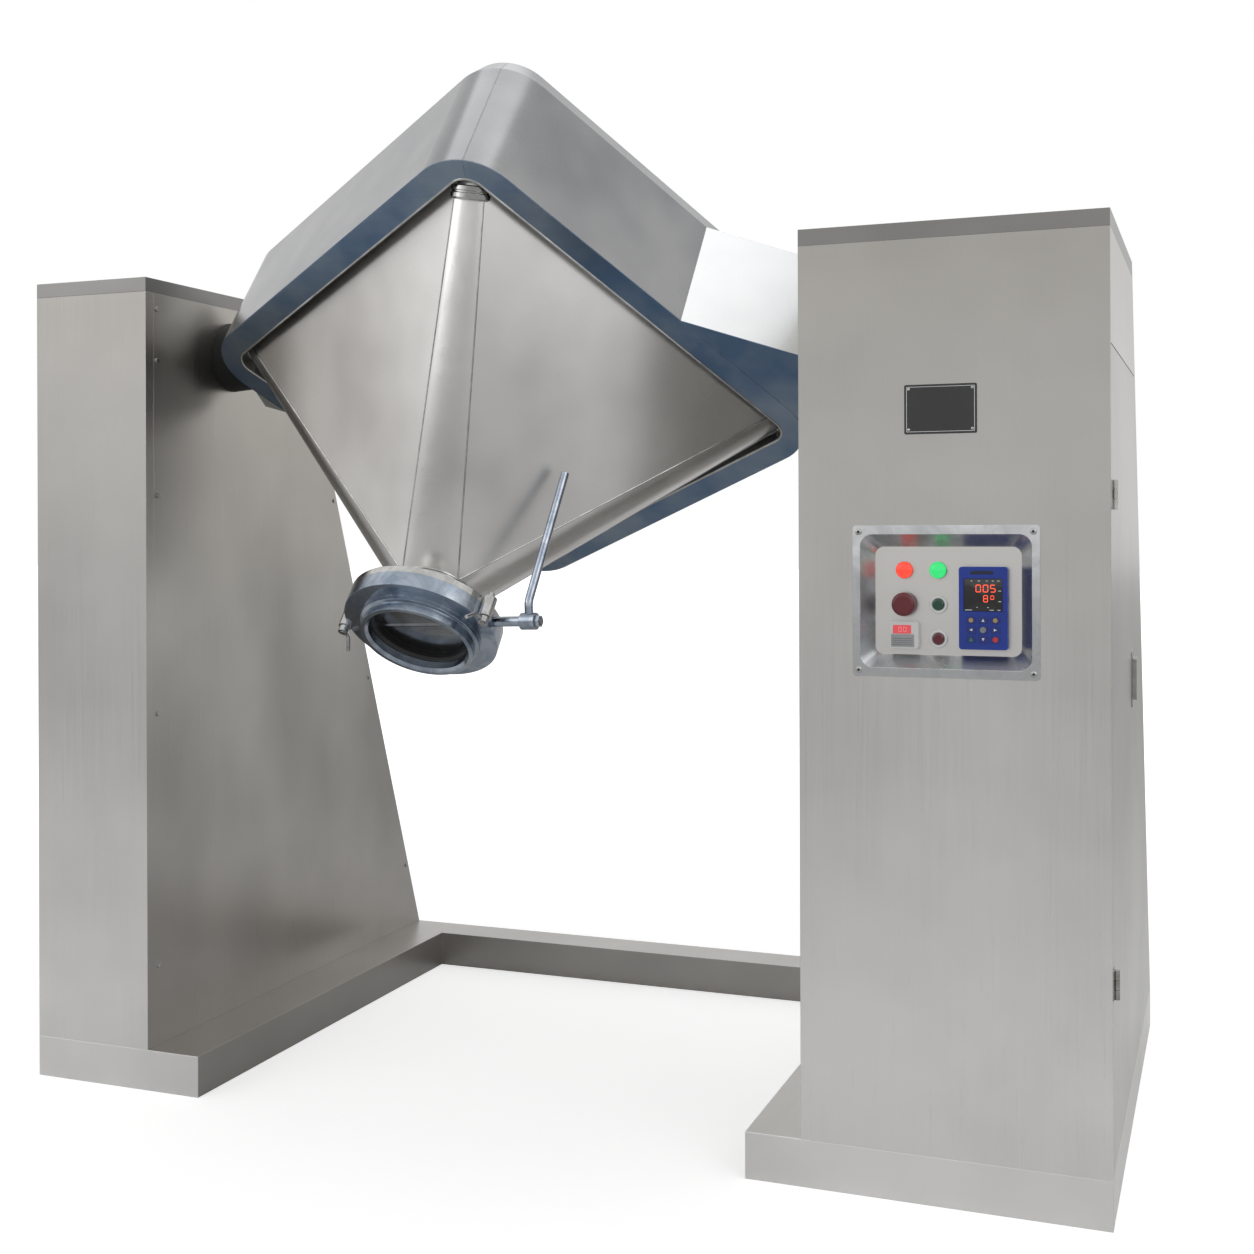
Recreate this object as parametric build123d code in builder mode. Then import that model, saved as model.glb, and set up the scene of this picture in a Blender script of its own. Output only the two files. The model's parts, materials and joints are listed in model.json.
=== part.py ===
from build123d import *
import math
import os

# Square double cone blender: a tumbling vessel carried between two columns.
# Millimetres, +Z up, the front with the discharge facing -Y. The pieces are drawn
# from a point on the floor below the rotation axis, midway between the columns, and
# moved at the end, so that the origin is the middle of the footprint of the whole.

os.makedirs("parts", exist_ok=True)

# Columns and base
HEIGHT = 1650
GAP = 1360
LEFT_WIDTH = 274
RIGHT_WIDTH = 517
FRONT_Y = -300
TOP_DEPTH = 570
FOOT_DEPTH = 1150
PLINTH_H = 82
LEFT_LEDGE = 120
RIGHT_LEDGE = 100
BEAM_DEPTH = 100
PLINTH_PLATE = 5
CAP_H = 29
SHEET = 3
RETURN = 25
DOOR_RETURN = 12
REAR_STRIP = 22
TUBE = 40
TUBE_INSET = 24
DOOR_GAP = 2
DOOR_FOLD = 15
DOOR_TOP_Z = 1434
DOOR_FOOT_GAP = 2

# Vessel: square section, its axis leaning forward and down at rest
AXIS_Z = 1515
VESSEL_X = 20
LEAN = 52
SKEW = -13.7
HALF_OUT = 456
HALF_IN = 405
BAND_HALF = 145
BEVEL_LONG = 40
BEVEL_IN = 18
CORNER_OUT = 105
CORNER_IN = 36
WALL = 5
SKIRT = 10
CONE_RECESS = 30
BAND_PLATE = 6
OUTLET_Z = 625
OUTLET_R = 75
FEED_Z = 285
FEED_R = 165

# Discharge butterfly valve
NECK_LONG = 47
NECK_FLARE = 30
FLANGE_R = 142
NECK_FLANGE = 12
SPIGOT_FLANGE = 28
SPIGOT_R = 104
SPIGOT_LONG = 26
MOUTH_R = 91
SEAT_R = 84
SEAT_OUT_R = 104
SEAT_LONG = 20
DISC_T = 10
DISC_GAP = 0.6
STEM_R = 7
VALVE_TURN = -28.4
LEVER_UP = 268
LEVER_OVER = 80
LEVER_OUT = 30
LEVER_R = 7.5
BOSS_R = 9
BOSS_LONG = 54
HUB_WIDE = 28
FOOT_LONG = 34
CLAMP_BOLT_R = 5
NUT_T = 12
FOOT_LEAN = 38
CLAMP_LUG_R = 12
NUT_R = 9
CLAMP_BAR_LONG = 40
CLAMP_BAR_R = 3.5

# Feed port and its lid
FEED_NECK = 45
FEED_FLANGE_WIDE = 30
FEED_FLANGE = 14
LID_T = 10
LID_DOME = 38
GASKET_T = 6
SWING_BOLTS = 3
SWING_ROD_R = 6
SWING_OUT = 75
PIN_R = 6
LID_PIN_R = 5
HINGE_TURN = -135
LUG_T = 8
ARM_HALF = 14
EYE_HALF = 7
EAR_HALF = 18
EAR_PAST = 14
HANDLE_HALF = 50
HANDLE_OUT = 42
KNOB_LONG = 20
KNOB_R = 13
KNOB_SLACK = 5

# Trunnions and bearings
TRUNNION_X = 625
TRUNNION_FLANGE = 15
TRUNNION_FLANGE_R = 72
SHAFT_R = 40
COLLAR_R = 50
SEAL_R = 75
FIT = 0.05
RUN = 0.4
BEARING_FROM_FACE = 95
BEARING_T = 50
BEARING_BASE_H = 70
BEARING_R = 82
SHAFT_PAST = 30
SEAL_GAP = 8
SEAL_LAP = 10
END_HALF = 78
BRACKET_FROM_MIDDLE = 64
LEFT_BRACKET_Z = 76

# Drive
REDUCER_FROM_FACE = 175
REDUCER_T = 130
REDUCER_HALF = 135
REDUCER_WALL = 12
WHEEL_R = 96
WHEEL_T = 40
WORM_R = 28
WORM_GAP = 1
MOTOR_R = 95
MOTOR_LONG = 300
LANTERN_LONG = 90
MOTOR_SHAFT_R = 14
TORQUE_HALF = 35
MOUNT_Z0 = 700
MOUNT_Z1 = 1160
CASE_GAP = 6
FAN_SPACE = 45
HUB_R = 32
HUB_LONG = 24
LANTERN_R = 62
LANTERN_WALL = 12
FINS = 24
FIN_T = 4
BLADES = 6
COWL_T = 2

# Control panel, seen on the right column's front
PANEL_FROM_INNER = 250
PANEL_Z = 1012
PANEL_W = 311
PANEL_H = 255
PLATE_T = 2
TRAY_W = 291
TRAY_H = 231
TRAY_FLOOR_W = 245
TRAY_FLOOR_H = 183
TRAY_DEEP = 32
BUTTON_R = 11
BEZEL_R = 15
BUTTON_X = (-72, -15)
BUTTON_Z = (52, -6, -64)
MUSHROOM_R = 20
KEYPAD_W = 80
KEYPAD_H = 138
KEYPAD_X = 61
KEYPAD_Z = -11
BEZEL_T = 3
BUTTON_PROUD = 6
BUTTON_BACK = 10
LAMP_PROUD = 4
STOP_TRAVEL = 5
STOP_SPINDLE_R = 5
HEAD_T = 12
TIMER_W = 49
TIMER_H = 46
TIMER_T = 12
WINDOW_DEEP = 3
KEYPAD_T = 14
DISPLAY_W = 64
DISPLAY_H = 55
DISPLAY_UP = 22
KEY_W = 15
KEY_H = 11
KEY_PITCH_X = 20
KEY_PITCH_Z = 16
KEY_ROWS = 3
KEY_FIRST_Z = -20
NAMEPLATE_W = 121
NAMEPLATE_H = 83
NAMEPLATE_Z = 1334
SCREW_ZS = (245, 760, 1207, 1483, 1589)
SCREW_INSET = 11
SCREW_R = 5
SCREW_T = 2.5
INVERTER_W = 140
INVERTER_H = 250
INVERTER_D = 130

# Hinges and locks of the two doors
KNUCKLE_R = 5
HINGE_PIN_R = 2.5
HINGE_H = 48
LEAF_T = 2
SIDE_HINGE_Z = (396, 1188)
REAR_HINGE_S = (250, 1120)
LOCK_Z = 875
LOCK_Y = 215
LOCK_H = 110
LOCK_W = 26
LOCK_PIN_R = 5
TONGUE_LONG = 34
STRIKE_REACH = 45

# Worked out from the sizes above
INNER_X = GAP / 2
panel_x = INNER_X + PANEL_FROM_INNER
feed_flange_r = FEED_R + FEED_FLANGE_WIDE
LEFT_OUT_X = -INNER_X - LEFT_WIDTH
RIGHT_OUT_X = INNER_X + RIGHT_WIDTH
CAP_Z = HEIGHT - CAP_H
LEAN_BACK = math.degrees(math.atan((FOOT_DEPTH - TOP_DEPTH) / (HEIGHT - PLINTH_H)))
SIN_BACK = math.sin(math.radians(LEAN_BACK))
COS_BACK = math.cos(math.radians(LEAN_BACK))
SLOPE_LONG = (CAP_Z - PLINTH_H) / COS_BACK
FOOT_S = SHEET * SIN_BACK / COS_BACK


def rear_y(z, inset=0):
    """Rear face of a column at height z, moved inward by inset along its normal."""
    foot_y = FRONT_Y + FOOT_DEPTH
    run = (z - PLINTH_H) * math.tan(math.radians(LEAN_BACK))
    return foot_y - run - inset / COS_BACK


def rear_z(y, inset=0):
    """Height at which that same inset face passes the depth y."""
    foot_y = FRONT_Y + FOOT_DEPTH
    return PLINTH_H + (foot_y - inset / COS_BACK - y) / math.tan(math.radians(LEAN_BACK))


cos_skew = math.cos(math.radians(SKEW))
sin_skew = math.sin(math.radians(SKEW))
outlet_dir = Vector(0, -math.cos(math.radians(LEAN)), -math.sin(math.radians(LEAN)))
across_dir = Vector(0, -math.sin(math.radians(LEAN)), math.cos(math.radians(LEAN)))
corner_dir = Vector(1, 0, 0) * cos_skew + across_dir * sin_skew
top_dir = Vector(1, 0, 0) * -sin_skew + across_dir * cos_skew
side_dir = (corner_dir + top_dir) * math.sqrt(0.5)
CENTRE = Vector(VESSEL_X, 0, AXIS_Z)
VESSEL = Plane(origin=CENTRE, x_dir=side_dir, z_dir=outlet_dir)
VESSEL_AXIS = Axis(CENTRE, outlet_dir)
SPIN = Axis((0, 0, AXIS_Z), (1, 0, 0))


nodes = {}


def save(name, *solids):
    """Keep one node: a single piece, or a group of separate solids."""
    nodes[name] = solids


def box_between(x0, x1, y0, y1, z0, z1):
    """A plain block between two corners, returned as its builder's part."""
    with BuildPart() as block:
        with BuildSketch(Plane.XY.offset(z0)):
            with Locations(((x0 + x1) / 2, (y0 + y1) / 2)):
                Rectangle(x1 - x0, y1 - y0)
        extrude(amount=z1 - z0)
    return block.part


def hollow_box(x0, x1, y0, y1, z0, z1, wall):
    """A closed box welded from plate of the thickness given."""
    with BuildPart() as box:
        add(box_between(x0, x1, y0, y1, z0, z1))
        add(box_between(x0 + wall, x1 - wall, y0 + wall, y1 - wall, z0 + wall, z1 - wall),
            mode=Mode.SUBTRACT)
    return box.part


# Base frame: two plinths joined by a rear beam
left_foot_x = -INNER_X + LEFT_LEDGE
right_foot_x = INNER_X - RIGHT_LEDGE
rear_foot_y = FRONT_Y + FOOT_DEPTH
save("base_frame",
     hollow_box(LEFT_OUT_X, left_foot_x, FRONT_Y, rear_foot_y, 0, PLINTH_H, PLINTH_PLATE),
     hollow_box(right_foot_x, RIGHT_OUT_X, FRONT_Y, rear_foot_y, 0, PLINTH_H, PLINTH_PLATE),
     hollow_box(left_foot_x, right_foot_x, rear_foot_y - BEAM_DEPTH, rear_foot_y, 0, PLINTH_H,
                PLINTH_PLATE))


# Columns: folded sheet over a tube frame, the rear face leaning forward
def side_corners(front_y, rear_inset, z0, z1):
    """Corners of a column's side between two heights, in the YZ plane."""
    return [(front_y, z0), (rear_y(z0, rear_inset), z0),
            (rear_y(z1, rear_inset), z1), (front_y, z1)]


def side_sheet(x0, x1, front_y, rear_inset, z0=PLINTH_H, z1=CAP_Z, hole_r=0):
    """A flat side panel, with a round hole for the shaft where it has one."""
    with BuildPart() as sheet:
        with BuildSketch(Plane.YZ.offset(x0)):
            Polygon(*side_corners(front_y, rear_inset, z0, z1), align=None)
            if hole_r:
                with Locations((0, AXIS_Z)):
                    Circle(hole_r, mode=Mode.SUBTRACT)
        extrude(amount=x1 - x0)
    return sheet.part


def front_sheet(x0, x1, left_return, right_return):
    """The front face folded back along both of its upright edges."""
    with BuildPart() as sheet:
        with BuildSketch(Plane.XY.offset(PLINTH_H)):
            with BuildLine():
                Polyline((x0, FRONT_Y), (x1, FRONT_Y), (x1, FRONT_Y + right_return),
                         (x1 - SHEET, FRONT_Y + right_return), (x1 - SHEET, FRONT_Y + SHEET),
                         (x0 + SHEET, FRONT_Y + SHEET), (x0 + SHEET, FRONT_Y + left_return),
                         (x0, FRONT_Y + left_return), close=True)
            make_face()
        extrude(amount=CAP_Z - PLINTH_H)
    return sheet.part


def rear_plane(x):
    """Plane on the leaning rear face: its y runs up the slope, its z outward."""
    return Plane(origin=(x, rear_y(PLINTH_H), PLINTH_H), x_dir=(-1, 0, 0),
                 z_dir=(0, COS_BACK, SIN_BACK))


def rear_sheet(x0, x1, s0, s1, fold=0):
    """A rear panel between two distances up the slope, with folded edges if asked."""
    with BuildPart() as sheet:
        with BuildSketch(rear_plane((x0 + x1) / 2).offset(-SHEET)):
            with Locations((0, (s0 + s1) / 2)):
                Rectangle(x1 - x0, s1 - s0)
        extrude(amount=SHEET)
        if fold:
            with BuildSketch(rear_plane((x0 + x1) / 2).offset(-SHEET - fold)):
                with Locations((0, (s0 + s1) / 2)):
                    Rectangle(x1 - x0, s1 - s0)
                    Rectangle(x1 - x0 - 2 * SHEET, s1 - s0 - 2 * SHEET, mode=Mode.SUBTRACT)
            extrude(amount=fold)
    return sheet.part


def cap(x0, x1):
    """A column's top, folded down all round over the panels' upper edges."""
    with BuildPart() as top:
        with BuildSketch(Plane.YZ.offset(x0)):
            Polygon(*side_corners(FRONT_Y, 0, CAP_Z, HEIGHT), align=None)
        extrude(amount=x1 - x0)
        with BuildSketch(Plane.YZ.offset(x0 + SHEET)):
            Polygon(*side_corners(FRONT_Y + SHEET, SHEET, CAP_Z, HEIGHT - SHEET), align=None)
        extrude(amount=x1 - x0 - 2 * SHEET, mode=Mode.SUBTRACT)
    return top.part


def tube_frame(x0, x1, beam_x, beam_z):
    """Four corner tubes, top and foot rails, and the beam that carries the bearing."""
    rails = []
    y_front = FRONT_Y + TUBE_INSET
    rear_in = TUBE_INSET + TUBE
    post_xs = (x0 + TUBE_INSET, x1 - TUBE_INSET - TUBE)
    for post_x in post_xs:
        rails.append(box_between(post_x, post_x + TUBE, y_front, y_front + TUBE,
                                 PLINTH_H, CAP_Z))
        with BuildPart() as leaning_post:
            with BuildSketch(Plane.YZ.offset(post_x)):
                with BuildLine():
                    Polyline((rear_y(PLINTH_H, rear_in), PLINTH_H),
                             (rear_y(PLINTH_H, TUBE_INSET), PLINTH_H),
                             (rear_y(CAP_Z, TUBE_INSET), CAP_Z),
                             (rear_y(CAP_Z, rear_in), CAP_Z), close=True)
                make_face()
            extrude(amount=TUBE)
        rails.append(leaning_post.part)
        for rail_z in (PLINTH_H, CAP_Z - TUBE):
            with BuildPart() as side_rail:
                with BuildSketch(Plane.YZ.offset(post_x)):
                    Polygon(*side_corners(y_front + TUBE, rear_in, rail_z, rail_z + TUBE), align=None)
                extrude(amount=TUBE)
            rails.append(side_rail.part)
    for rail_z in (PLINTH_H, CAP_Z - TUBE):
        rails.append(box_between(post_xs[0] + TUBE, post_xs[1],
                                 y_front, y_front + TUBE, rail_z, rail_z + TUBE))
    beam_y = FRONT_Y + TUBE_INSET + TUBE
    with BuildPart() as bearing_beam:
        with BuildSketch(Plane.YZ.offset(beam_x - TUBE)):
            Polygon(*side_corners(beam_y, rear_in, beam_z - TUBE, beam_z), align=None)
        extrude(amount=2 * TUBE)
    rails.append(bearing_beam.part)
    for end_y in (y_front, rear_y(beam_z, rear_in)):
        rails.append(box_between(post_xs[0] + TUBE, post_xs[1], end_y,
                                 end_y + TUBE, beam_z - 2 * TUBE, beam_z - TUBE))
    return rails


# Bearing seats: each beam's top lies one bearing base below the axis
beam_top = AXIS_Z - BEARING_BASE_H
post_rear_y = FRONT_Y + TUBE_INSET + TUBE
reducer_x0 = INNER_X + REDUCER_FROM_FACE
reducer_x1 = reducer_x0 + REDUCER_T
left_bearing_x = -INNER_X - BEARING_FROM_FACE
right_bearing_x = INNER_X + BEARING_FROM_FACE
save("left_frame", *tube_frame(LEFT_OUT_X, -INNER_X, left_bearing_x, beam_top))
lock_post_x = RIGHT_OUT_X - TUBE_INSET - TUBE
lock_post_y = LOCK_Y + STRIKE_REACH - TUBE / 2
with BuildPart() as lock_post:
    with BuildSketch(Plane.YZ.offset(lock_post_x)):
        Polygon((lock_post_y, PLINTH_H + TUBE), (lock_post_y + TUBE, PLINTH_H + TUBE),
                (lock_post_y + TUBE, rear_z(lock_post_y + TUBE, TUBE_INSET + TUBE)),
                (lock_post_y, rear_z(lock_post_y, TUBE_INSET + TUBE)), align=None)
    extrude(amount=TUBE)
right_rails = tube_frame(INNER_X, RIGHT_OUT_X, right_bearing_x, beam_top)

panel_front_y = FRONT_Y + RETURN
save("left_shell", front_sheet(LEFT_OUT_X, -INNER_X, RETURN, RETURN),
     side_sheet(LEFT_OUT_X, LEFT_OUT_X + SHEET, panel_front_y, 0),
     rear_sheet(LEFT_OUT_X + SHEET, -INNER_X - SHEET, FOOT_S, SLOPE_LONG))
save("left_inner_panel", side_sheet(-INNER_X - SHEET, -INNER_X, panel_front_y, 0,
                                    hole_r=SEAL_R - SEAL_LAP))
save("column_caps", cap(LEFT_OUT_X, -INNER_X), cap(INNER_X, RIGHT_OUT_X))

# Right front panel, cut out for the control tray
with BuildPart() as right_front_panel:
    add(front_sheet(INNER_X, RIGHT_OUT_X, RETURN, DOOR_RETURN))
    with BuildSketch(Plane.XZ.offset(-FRONT_Y - 2 * SHEET)):
        with Locations((panel_x, PANEL_Z)):
            RectangleRounded(TRAY_W, TRAY_H, 24)
    extrude(amount=3 * SHEET, mode=Mode.SUBTRACT)
save("right_front_panel", right_front_panel.part)

# Outer side of the right column: fixed upper sheet, corner strip, and the door
strip_w = REAR_STRIP
door_front_y = FRONT_Y + DOOR_RETURN + DOOR_GAP
with BuildPart() as rear_corner_strip:
    with BuildSketch(Plane.YZ.offset(RIGHT_OUT_X - SHEET)):
        with BuildLine():
            Polyline((rear_y(PLINTH_H, strip_w), PLINTH_H), (rear_y(PLINTH_H), PLINTH_H),
                     (rear_y(DOOR_TOP_Z), DOOR_TOP_Z), (rear_y(DOOR_TOP_Z, strip_w), DOOR_TOP_Z),
                     close=True)
        make_face()
    extrude(amount=SHEET)
    strip_s1 = (DOOR_TOP_Z - PLINTH_H) / COS_BACK
    with BuildSketch(rear_plane(RIGHT_OUT_X - strip_w / 2).offset(-SHEET)):
        with Locations((0, (FOOT_S + strip_s1) / 2)):
            Rectangle(strip_w, strip_s1 - FOOT_S)
    extrude(amount=SHEET)
save("right_shell", rear_corner_strip.part,
     side_sheet(INNER_X, INNER_X + SHEET, panel_front_y, 0, hole_r=SHAFT_R + 4),
     side_sheet(RIGHT_OUT_X - SHEET, RIGHT_OUT_X, FRONT_Y + DOOR_RETURN, 0, DOOR_TOP_Z, CAP_Z),
     rear_sheet(INNER_X + SHEET, RIGHT_OUT_X - SHEET, strip_s1, SLOPE_LONG))

# Doors are trays: a flat skin with its edges folded inward
side_door_edges = (door_front_y, strip_w + DOOR_GAP, PLINTH_H + DOOR_FOOT_GAP,
                   DOOR_TOP_Z - DOOR_GAP)
with BuildPart() as side_door:
    front_y, rear_in, z0, z1 = side_door_edges
    with BuildSketch(Plane.YZ.offset(RIGHT_OUT_X - SHEET - DOOR_FOLD)):
        Polygon(*side_corners(front_y, rear_in, z0, z1), align=None)
    extrude(amount=SHEET + DOOR_FOLD)
    with BuildSketch(Plane.YZ.offset(RIGHT_OUT_X - SHEET - DOOR_FOLD)):
        Polygon(*side_corners(front_y + SHEET, rear_in + SHEET, z0 + SHEET, z1 - SHEET), align=None)
    extrude(amount=DOOR_FOLD, mode=Mode.SUBTRACT)
    with BuildSketch(Plane.YZ.offset(RIGHT_OUT_X - SHEET)):
        with Locations((LOCK_Y, LOCK_Z)):
            Circle(LOCK_PIN_R + FIT)
    extrude(amount=SHEET, mode=Mode.SUBTRACT)
save("side_door", side_door.part)

rear_door_x0 = INNER_X + SHEET + DOOR_GAP
rear_door_x1 = RIGHT_OUT_X - strip_w - DOOR_GAP
rear_door_s0 = (SHEET + DOOR_FOLD) * SIN_BACK / COS_BACK + DOOR_GAP
rear_lock_x = INNER_X + TUBE_INSET + TUBE / 2 + STRIKE_REACH
rear_lock_s = (LOCK_Z - PLINTH_H) / COS_BACK
with BuildPart() as rear_door:
    add(rear_sheet(rear_door_x0, rear_door_x1, rear_door_s0, strip_s1 - DOOR_GAP, DOOR_FOLD))
    with BuildSketch(rear_plane(rear_lock_x).offset(-SHEET)):
        with Locations((0, rear_lock_s)):
            Circle(LOCK_PIN_R + FIT)
    extrude(amount=SHEET, mode=Mode.SUBTRACT)
save("rear_door", rear_door.part)


# Hinges: in the plane given, z is the pin, x points at the fixed leaf, y outward
def hinge_half(plane, leaf_w, fixed):
    """One hinge half: the fixed one has two knuckles and the pin, the other the middle one."""
    way = 1 if fixed else -1
    face_y = -KNUCKLE_R - RUN
    third = HINGE_H / 3
    middles = (-third, third) if fixed else (0,)
    with BuildPart() as half:
        with BuildSketch(plane.offset(-HINGE_H / 2)):
            with Locations((way * (leaf_w + KNUCKLE_R + 2 * RUN) / 2, face_y + LEAF_T / 2)):
                Rectangle(leaf_w - KNUCKLE_R - 2 * RUN, LEAF_T)
        extrude(amount=HINGE_H)
        for middle in middles:
            with BuildSketch(plane.offset(middle - third / 2 + RUN)):
                Circle(KNUCKLE_R)
                with Locations((way * (KNUCKLE_R + 3 * RUN) / 2, face_y + LEAF_T / 2)):
                    Rectangle(KNUCKLE_R + 3 * RUN, LEAF_T)
            extrude(amount=third - 2 * RUN)
        with BuildSketch(plane.offset(-HINGE_H / 2)):
            Circle(HINGE_PIN_R if fixed else HINGE_PIN_R + FIT)
        extrude(amount=HINGE_H, mode=Mode.ADD if fixed else Mode.SUBTRACT)
    return half.part


hinge_x = RIGHT_OUT_X + KNUCKLE_R + RUN
side_hinge_y = FRONT_Y + DOOR_RETURN + DOOR_GAP / 2
side_pins = [Plane(origin=(hinge_x, side_hinge_y, z), x_dir=(0, -1, 0), z_dir=(0, 0, 1))
             for z in SIDE_HINGE_Z]
rear_hinge_x = RIGHT_OUT_X - strip_w - DOOR_GAP / 2
slope_up = Vector(0, -SIN_BACK, COS_BACK)
rear_out = Vector(0, COS_BACK, SIN_BACK)
rear_foot = Vector(rear_hinge_x, rear_y(PLINTH_H), PLINTH_H)
rear_pins = [Plane(origin=rear_foot + slope_up * s + rear_out * (KNUCKLE_R + RUN),
                   x_dir=(1, 0, 0), z_dir=slope_up) for s in REAR_HINGE_S]
fixed_leaf_w = DOOR_RETURN
door_leaf_w = 22
save("door_hinges", *[hinge_half(pin, fixed_leaf_w, True) for pin in side_pins + rear_pins])


# Locks: in the plane given, z points outward and x towards the strike
def lock_plate(plane):
    """Flush plate on the door's skin, with the bore that the handle turns in."""
    with BuildPart() as plate:
        with BuildSketch(plane):
            with Locations((0, -LOCK_H / 4)):
                RectangleRounded(LOCK_W, LOCK_H, LOCK_W / 4)
            Circle(LOCK_PIN_R + FIT, mode=Mode.SUBTRACT)
        extrude(amount=LEAF_T)
    return plate.part


def lock_handle(plane):
    """Lever, spindle and inner tongue, which turn together."""
    tongue_from = -SHEET - DOOR_FOLD - LEAF_T
    with BuildPart() as handle:
        with BuildSketch(plane.offset(tongue_from)):
            Circle(LOCK_PIN_R)
        extrude(amount=LEAF_T + RUN - tongue_from)
        with BuildSketch(plane.offset(LEAF_T + RUN)):
            with Locations((0, -LOCK_H / 4)):
                RectangleRounded(LOCK_W / 2, LOCK_H * 0.75, LOCK_W / 4 - 1)
        extrude(amount=7)
        with BuildSketch(plane.offset(tongue_from - LEAF_T)):
            with Locations((0, -TONGUE_LONG / 2 + LOCK_PIN_R)):
                Rectangle(2 * LOCK_PIN_R, TONGUE_LONG)
        extrude(amount=LEAF_T)
    return handle.part


def lock_strike(plane):
    """Angle on the frame post, behind which the tongue turns."""
    plate_z = -SHEET - DOOR_FOLD - LEAF_T + RUN
    with BuildPart() as strike:
        with BuildSketch(plane.offset(plate_z)):
            with Locations((STRIKE_REACH / 2 + LOCK_PIN_R + RUN, 0)):
                Rectangle(STRIKE_REACH - 2 * LOCK_PIN_R, 2 * TONGUE_LONG)
        extrude(amount=LEAF_T - 2 * RUN)
        with BuildSketch(plane.offset(-TUBE_INSET)):
            with Locations((STRIKE_REACH - LEAF_T / 2 + RUN, 0)):
                Rectangle(LEAF_T, 2 * TONGUE_LONG)
        extrude(amount=TUBE_INSET + plate_z)
    return strike.part


side_lock = Plane(origin=(RIGHT_OUT_X, LOCK_Y, LOCK_Z), x_dir=(0, 1, 0), z_dir=(1, 0, 0))
rear_lock = Plane(origin=Vector(rear_lock_x, rear_y(PLINTH_H), PLINTH_H) + slope_up * rear_lock_s,
                  x_dir=(-1, 0, 0), z_dir=rear_out)
for side, plane, pins in (("side", side_lock, side_pins), ("rear", rear_lock, rear_pins)):
    save(f"{side}_door_fittings", lock_plate(plane),
         *[hinge_half(pin, door_leaf_w, False) for pin in pins])
    save(f"{side}_lock_handle", lock_handle(plane))
mounting_plate = box_between(INNER_X + TUBE_INSET, RIGHT_OUT_X - TUBE_INSET, post_rear_y,
                             post_rear_y + SHEET, MOUNT_Z0, MOUNT_Z1)
torque_bracket = box_between(right_bearing_x + TUBE, reducer_x0, -TORQUE_HALF, TORQUE_HALF,
                             beam_top - 28, beam_top)
save("right_frame", lock_post.part, *right_rails, lock_strike(side_lock), lock_strike(rear_lock),
     mounting_plate, torque_bracket)


# Control panel: planes parallel to the front, their z pointing out at the operator
def panel_plane(out=0, x=0, z=0):
    """Plane parallel to the front face, out from it, shifted across and up."""
    return Plane(origin=(panel_x + x, FRONT_Y - out, PANEL_Z + z), x_dir=(1, 0, 0),
                 z_dir=(0, -1, 0))


tray_hole_r = 24
with BuildPart() as panel_plate:
    with BuildSketch(panel_plane()):
        RectangleRounded(PANEL_W, PANEL_H, 6)
        RectangleRounded(TRAY_W - 2 * SHEET, TRAY_H - 2 * SHEET, tray_hole_r - SHEET,
                         mode=Mode.SUBTRACT)
    extrude(amount=PLATE_T)
save("panel_plate", panel_plate.part)

with BuildPart() as panel_tray:
    with BuildSketch(panel_plane(0)):
        RectangleRounded(TRAY_W, TRAY_H, tray_hole_r)
    with BuildSketch(panel_plane(-TRAY_DEEP)):
        RectangleRounded(TRAY_FLOOR_W + 2 * SHEET, TRAY_FLOOR_H + 2 * SHEET, 18)
    loft(ruled=True)
    with BuildSketch(panel_plane(0)):
        RectangleRounded(TRAY_W - 2 * SHEET, TRAY_H - 2 * SHEET, tray_hole_r - SHEET)
    with BuildSketch(panel_plane(-TRAY_DEEP + SHEET)):
        RectangleRounded(TRAY_FLOOR_W, TRAY_FLOOR_H, 18 - SHEET)
    loft(ruled=True, mode=Mode.SUBTRACT)
    with BuildSketch(panel_plane(-TRAY_DEEP)):
        for button_x in BUTTON_X:
            with Locations((button_x, BUTTON_Z[0])):
                Circle(BUTTON_R + RUN)
        with Locations((BUTTON_X[0], BUTTON_Z[1])):
            Circle(BUTTON_R + RUN)
    extrude(amount=SHEET, mode=Mode.SUBTRACT)
save("panel_tray", panel_tray.part)

floor_out = -TRAY_DEEP + SHEET
push_places = {"start_button": (BUTTON_X[1], BUTTON_Z[0]), "halt_button": (BUTTON_X[0], BUTTON_Z[0])}
stop_place = (BUTTON_X[0], BUTTON_Z[1])
lamp_places = [(BUTTON_X[1], BUTTON_Z[1]), (BUTTON_X[1], BUTTON_Z[2])]


def disc_at(place, start_out, radius, length):
    """A round piece on the panel that starts at start_out and runs outward."""
    with BuildPart() as disc:
        with BuildSketch(panel_plane(start_out, *place)):
            Circle(radius)
        extrude(amount=length)
    return disc.part


bezels = []
for place in [*push_places.values(), stop_place]:
    with BuildPart() as bezel:
        with BuildSketch(panel_plane(floor_out, *place)):
            Circle(BEZEL_R)
            Circle(BUTTON_R + RUN, mode=Mode.SUBTRACT)
        extrude(amount=BEZEL_T)
    bezels.append(bezel.part)
for name, place in push_places.items():
    with BuildPart() as button:
        with BuildSketch(panel_plane(floor_out - BUTTON_BACK, *place)):
            Circle(BUTTON_R)
        extrude(amount=BUTTON_BACK + BUTTON_PROUD)
        fillet(button.faces().sort_by(Axis.Y)[0].edges(), 1.5)
    save(name, button.part)

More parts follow.
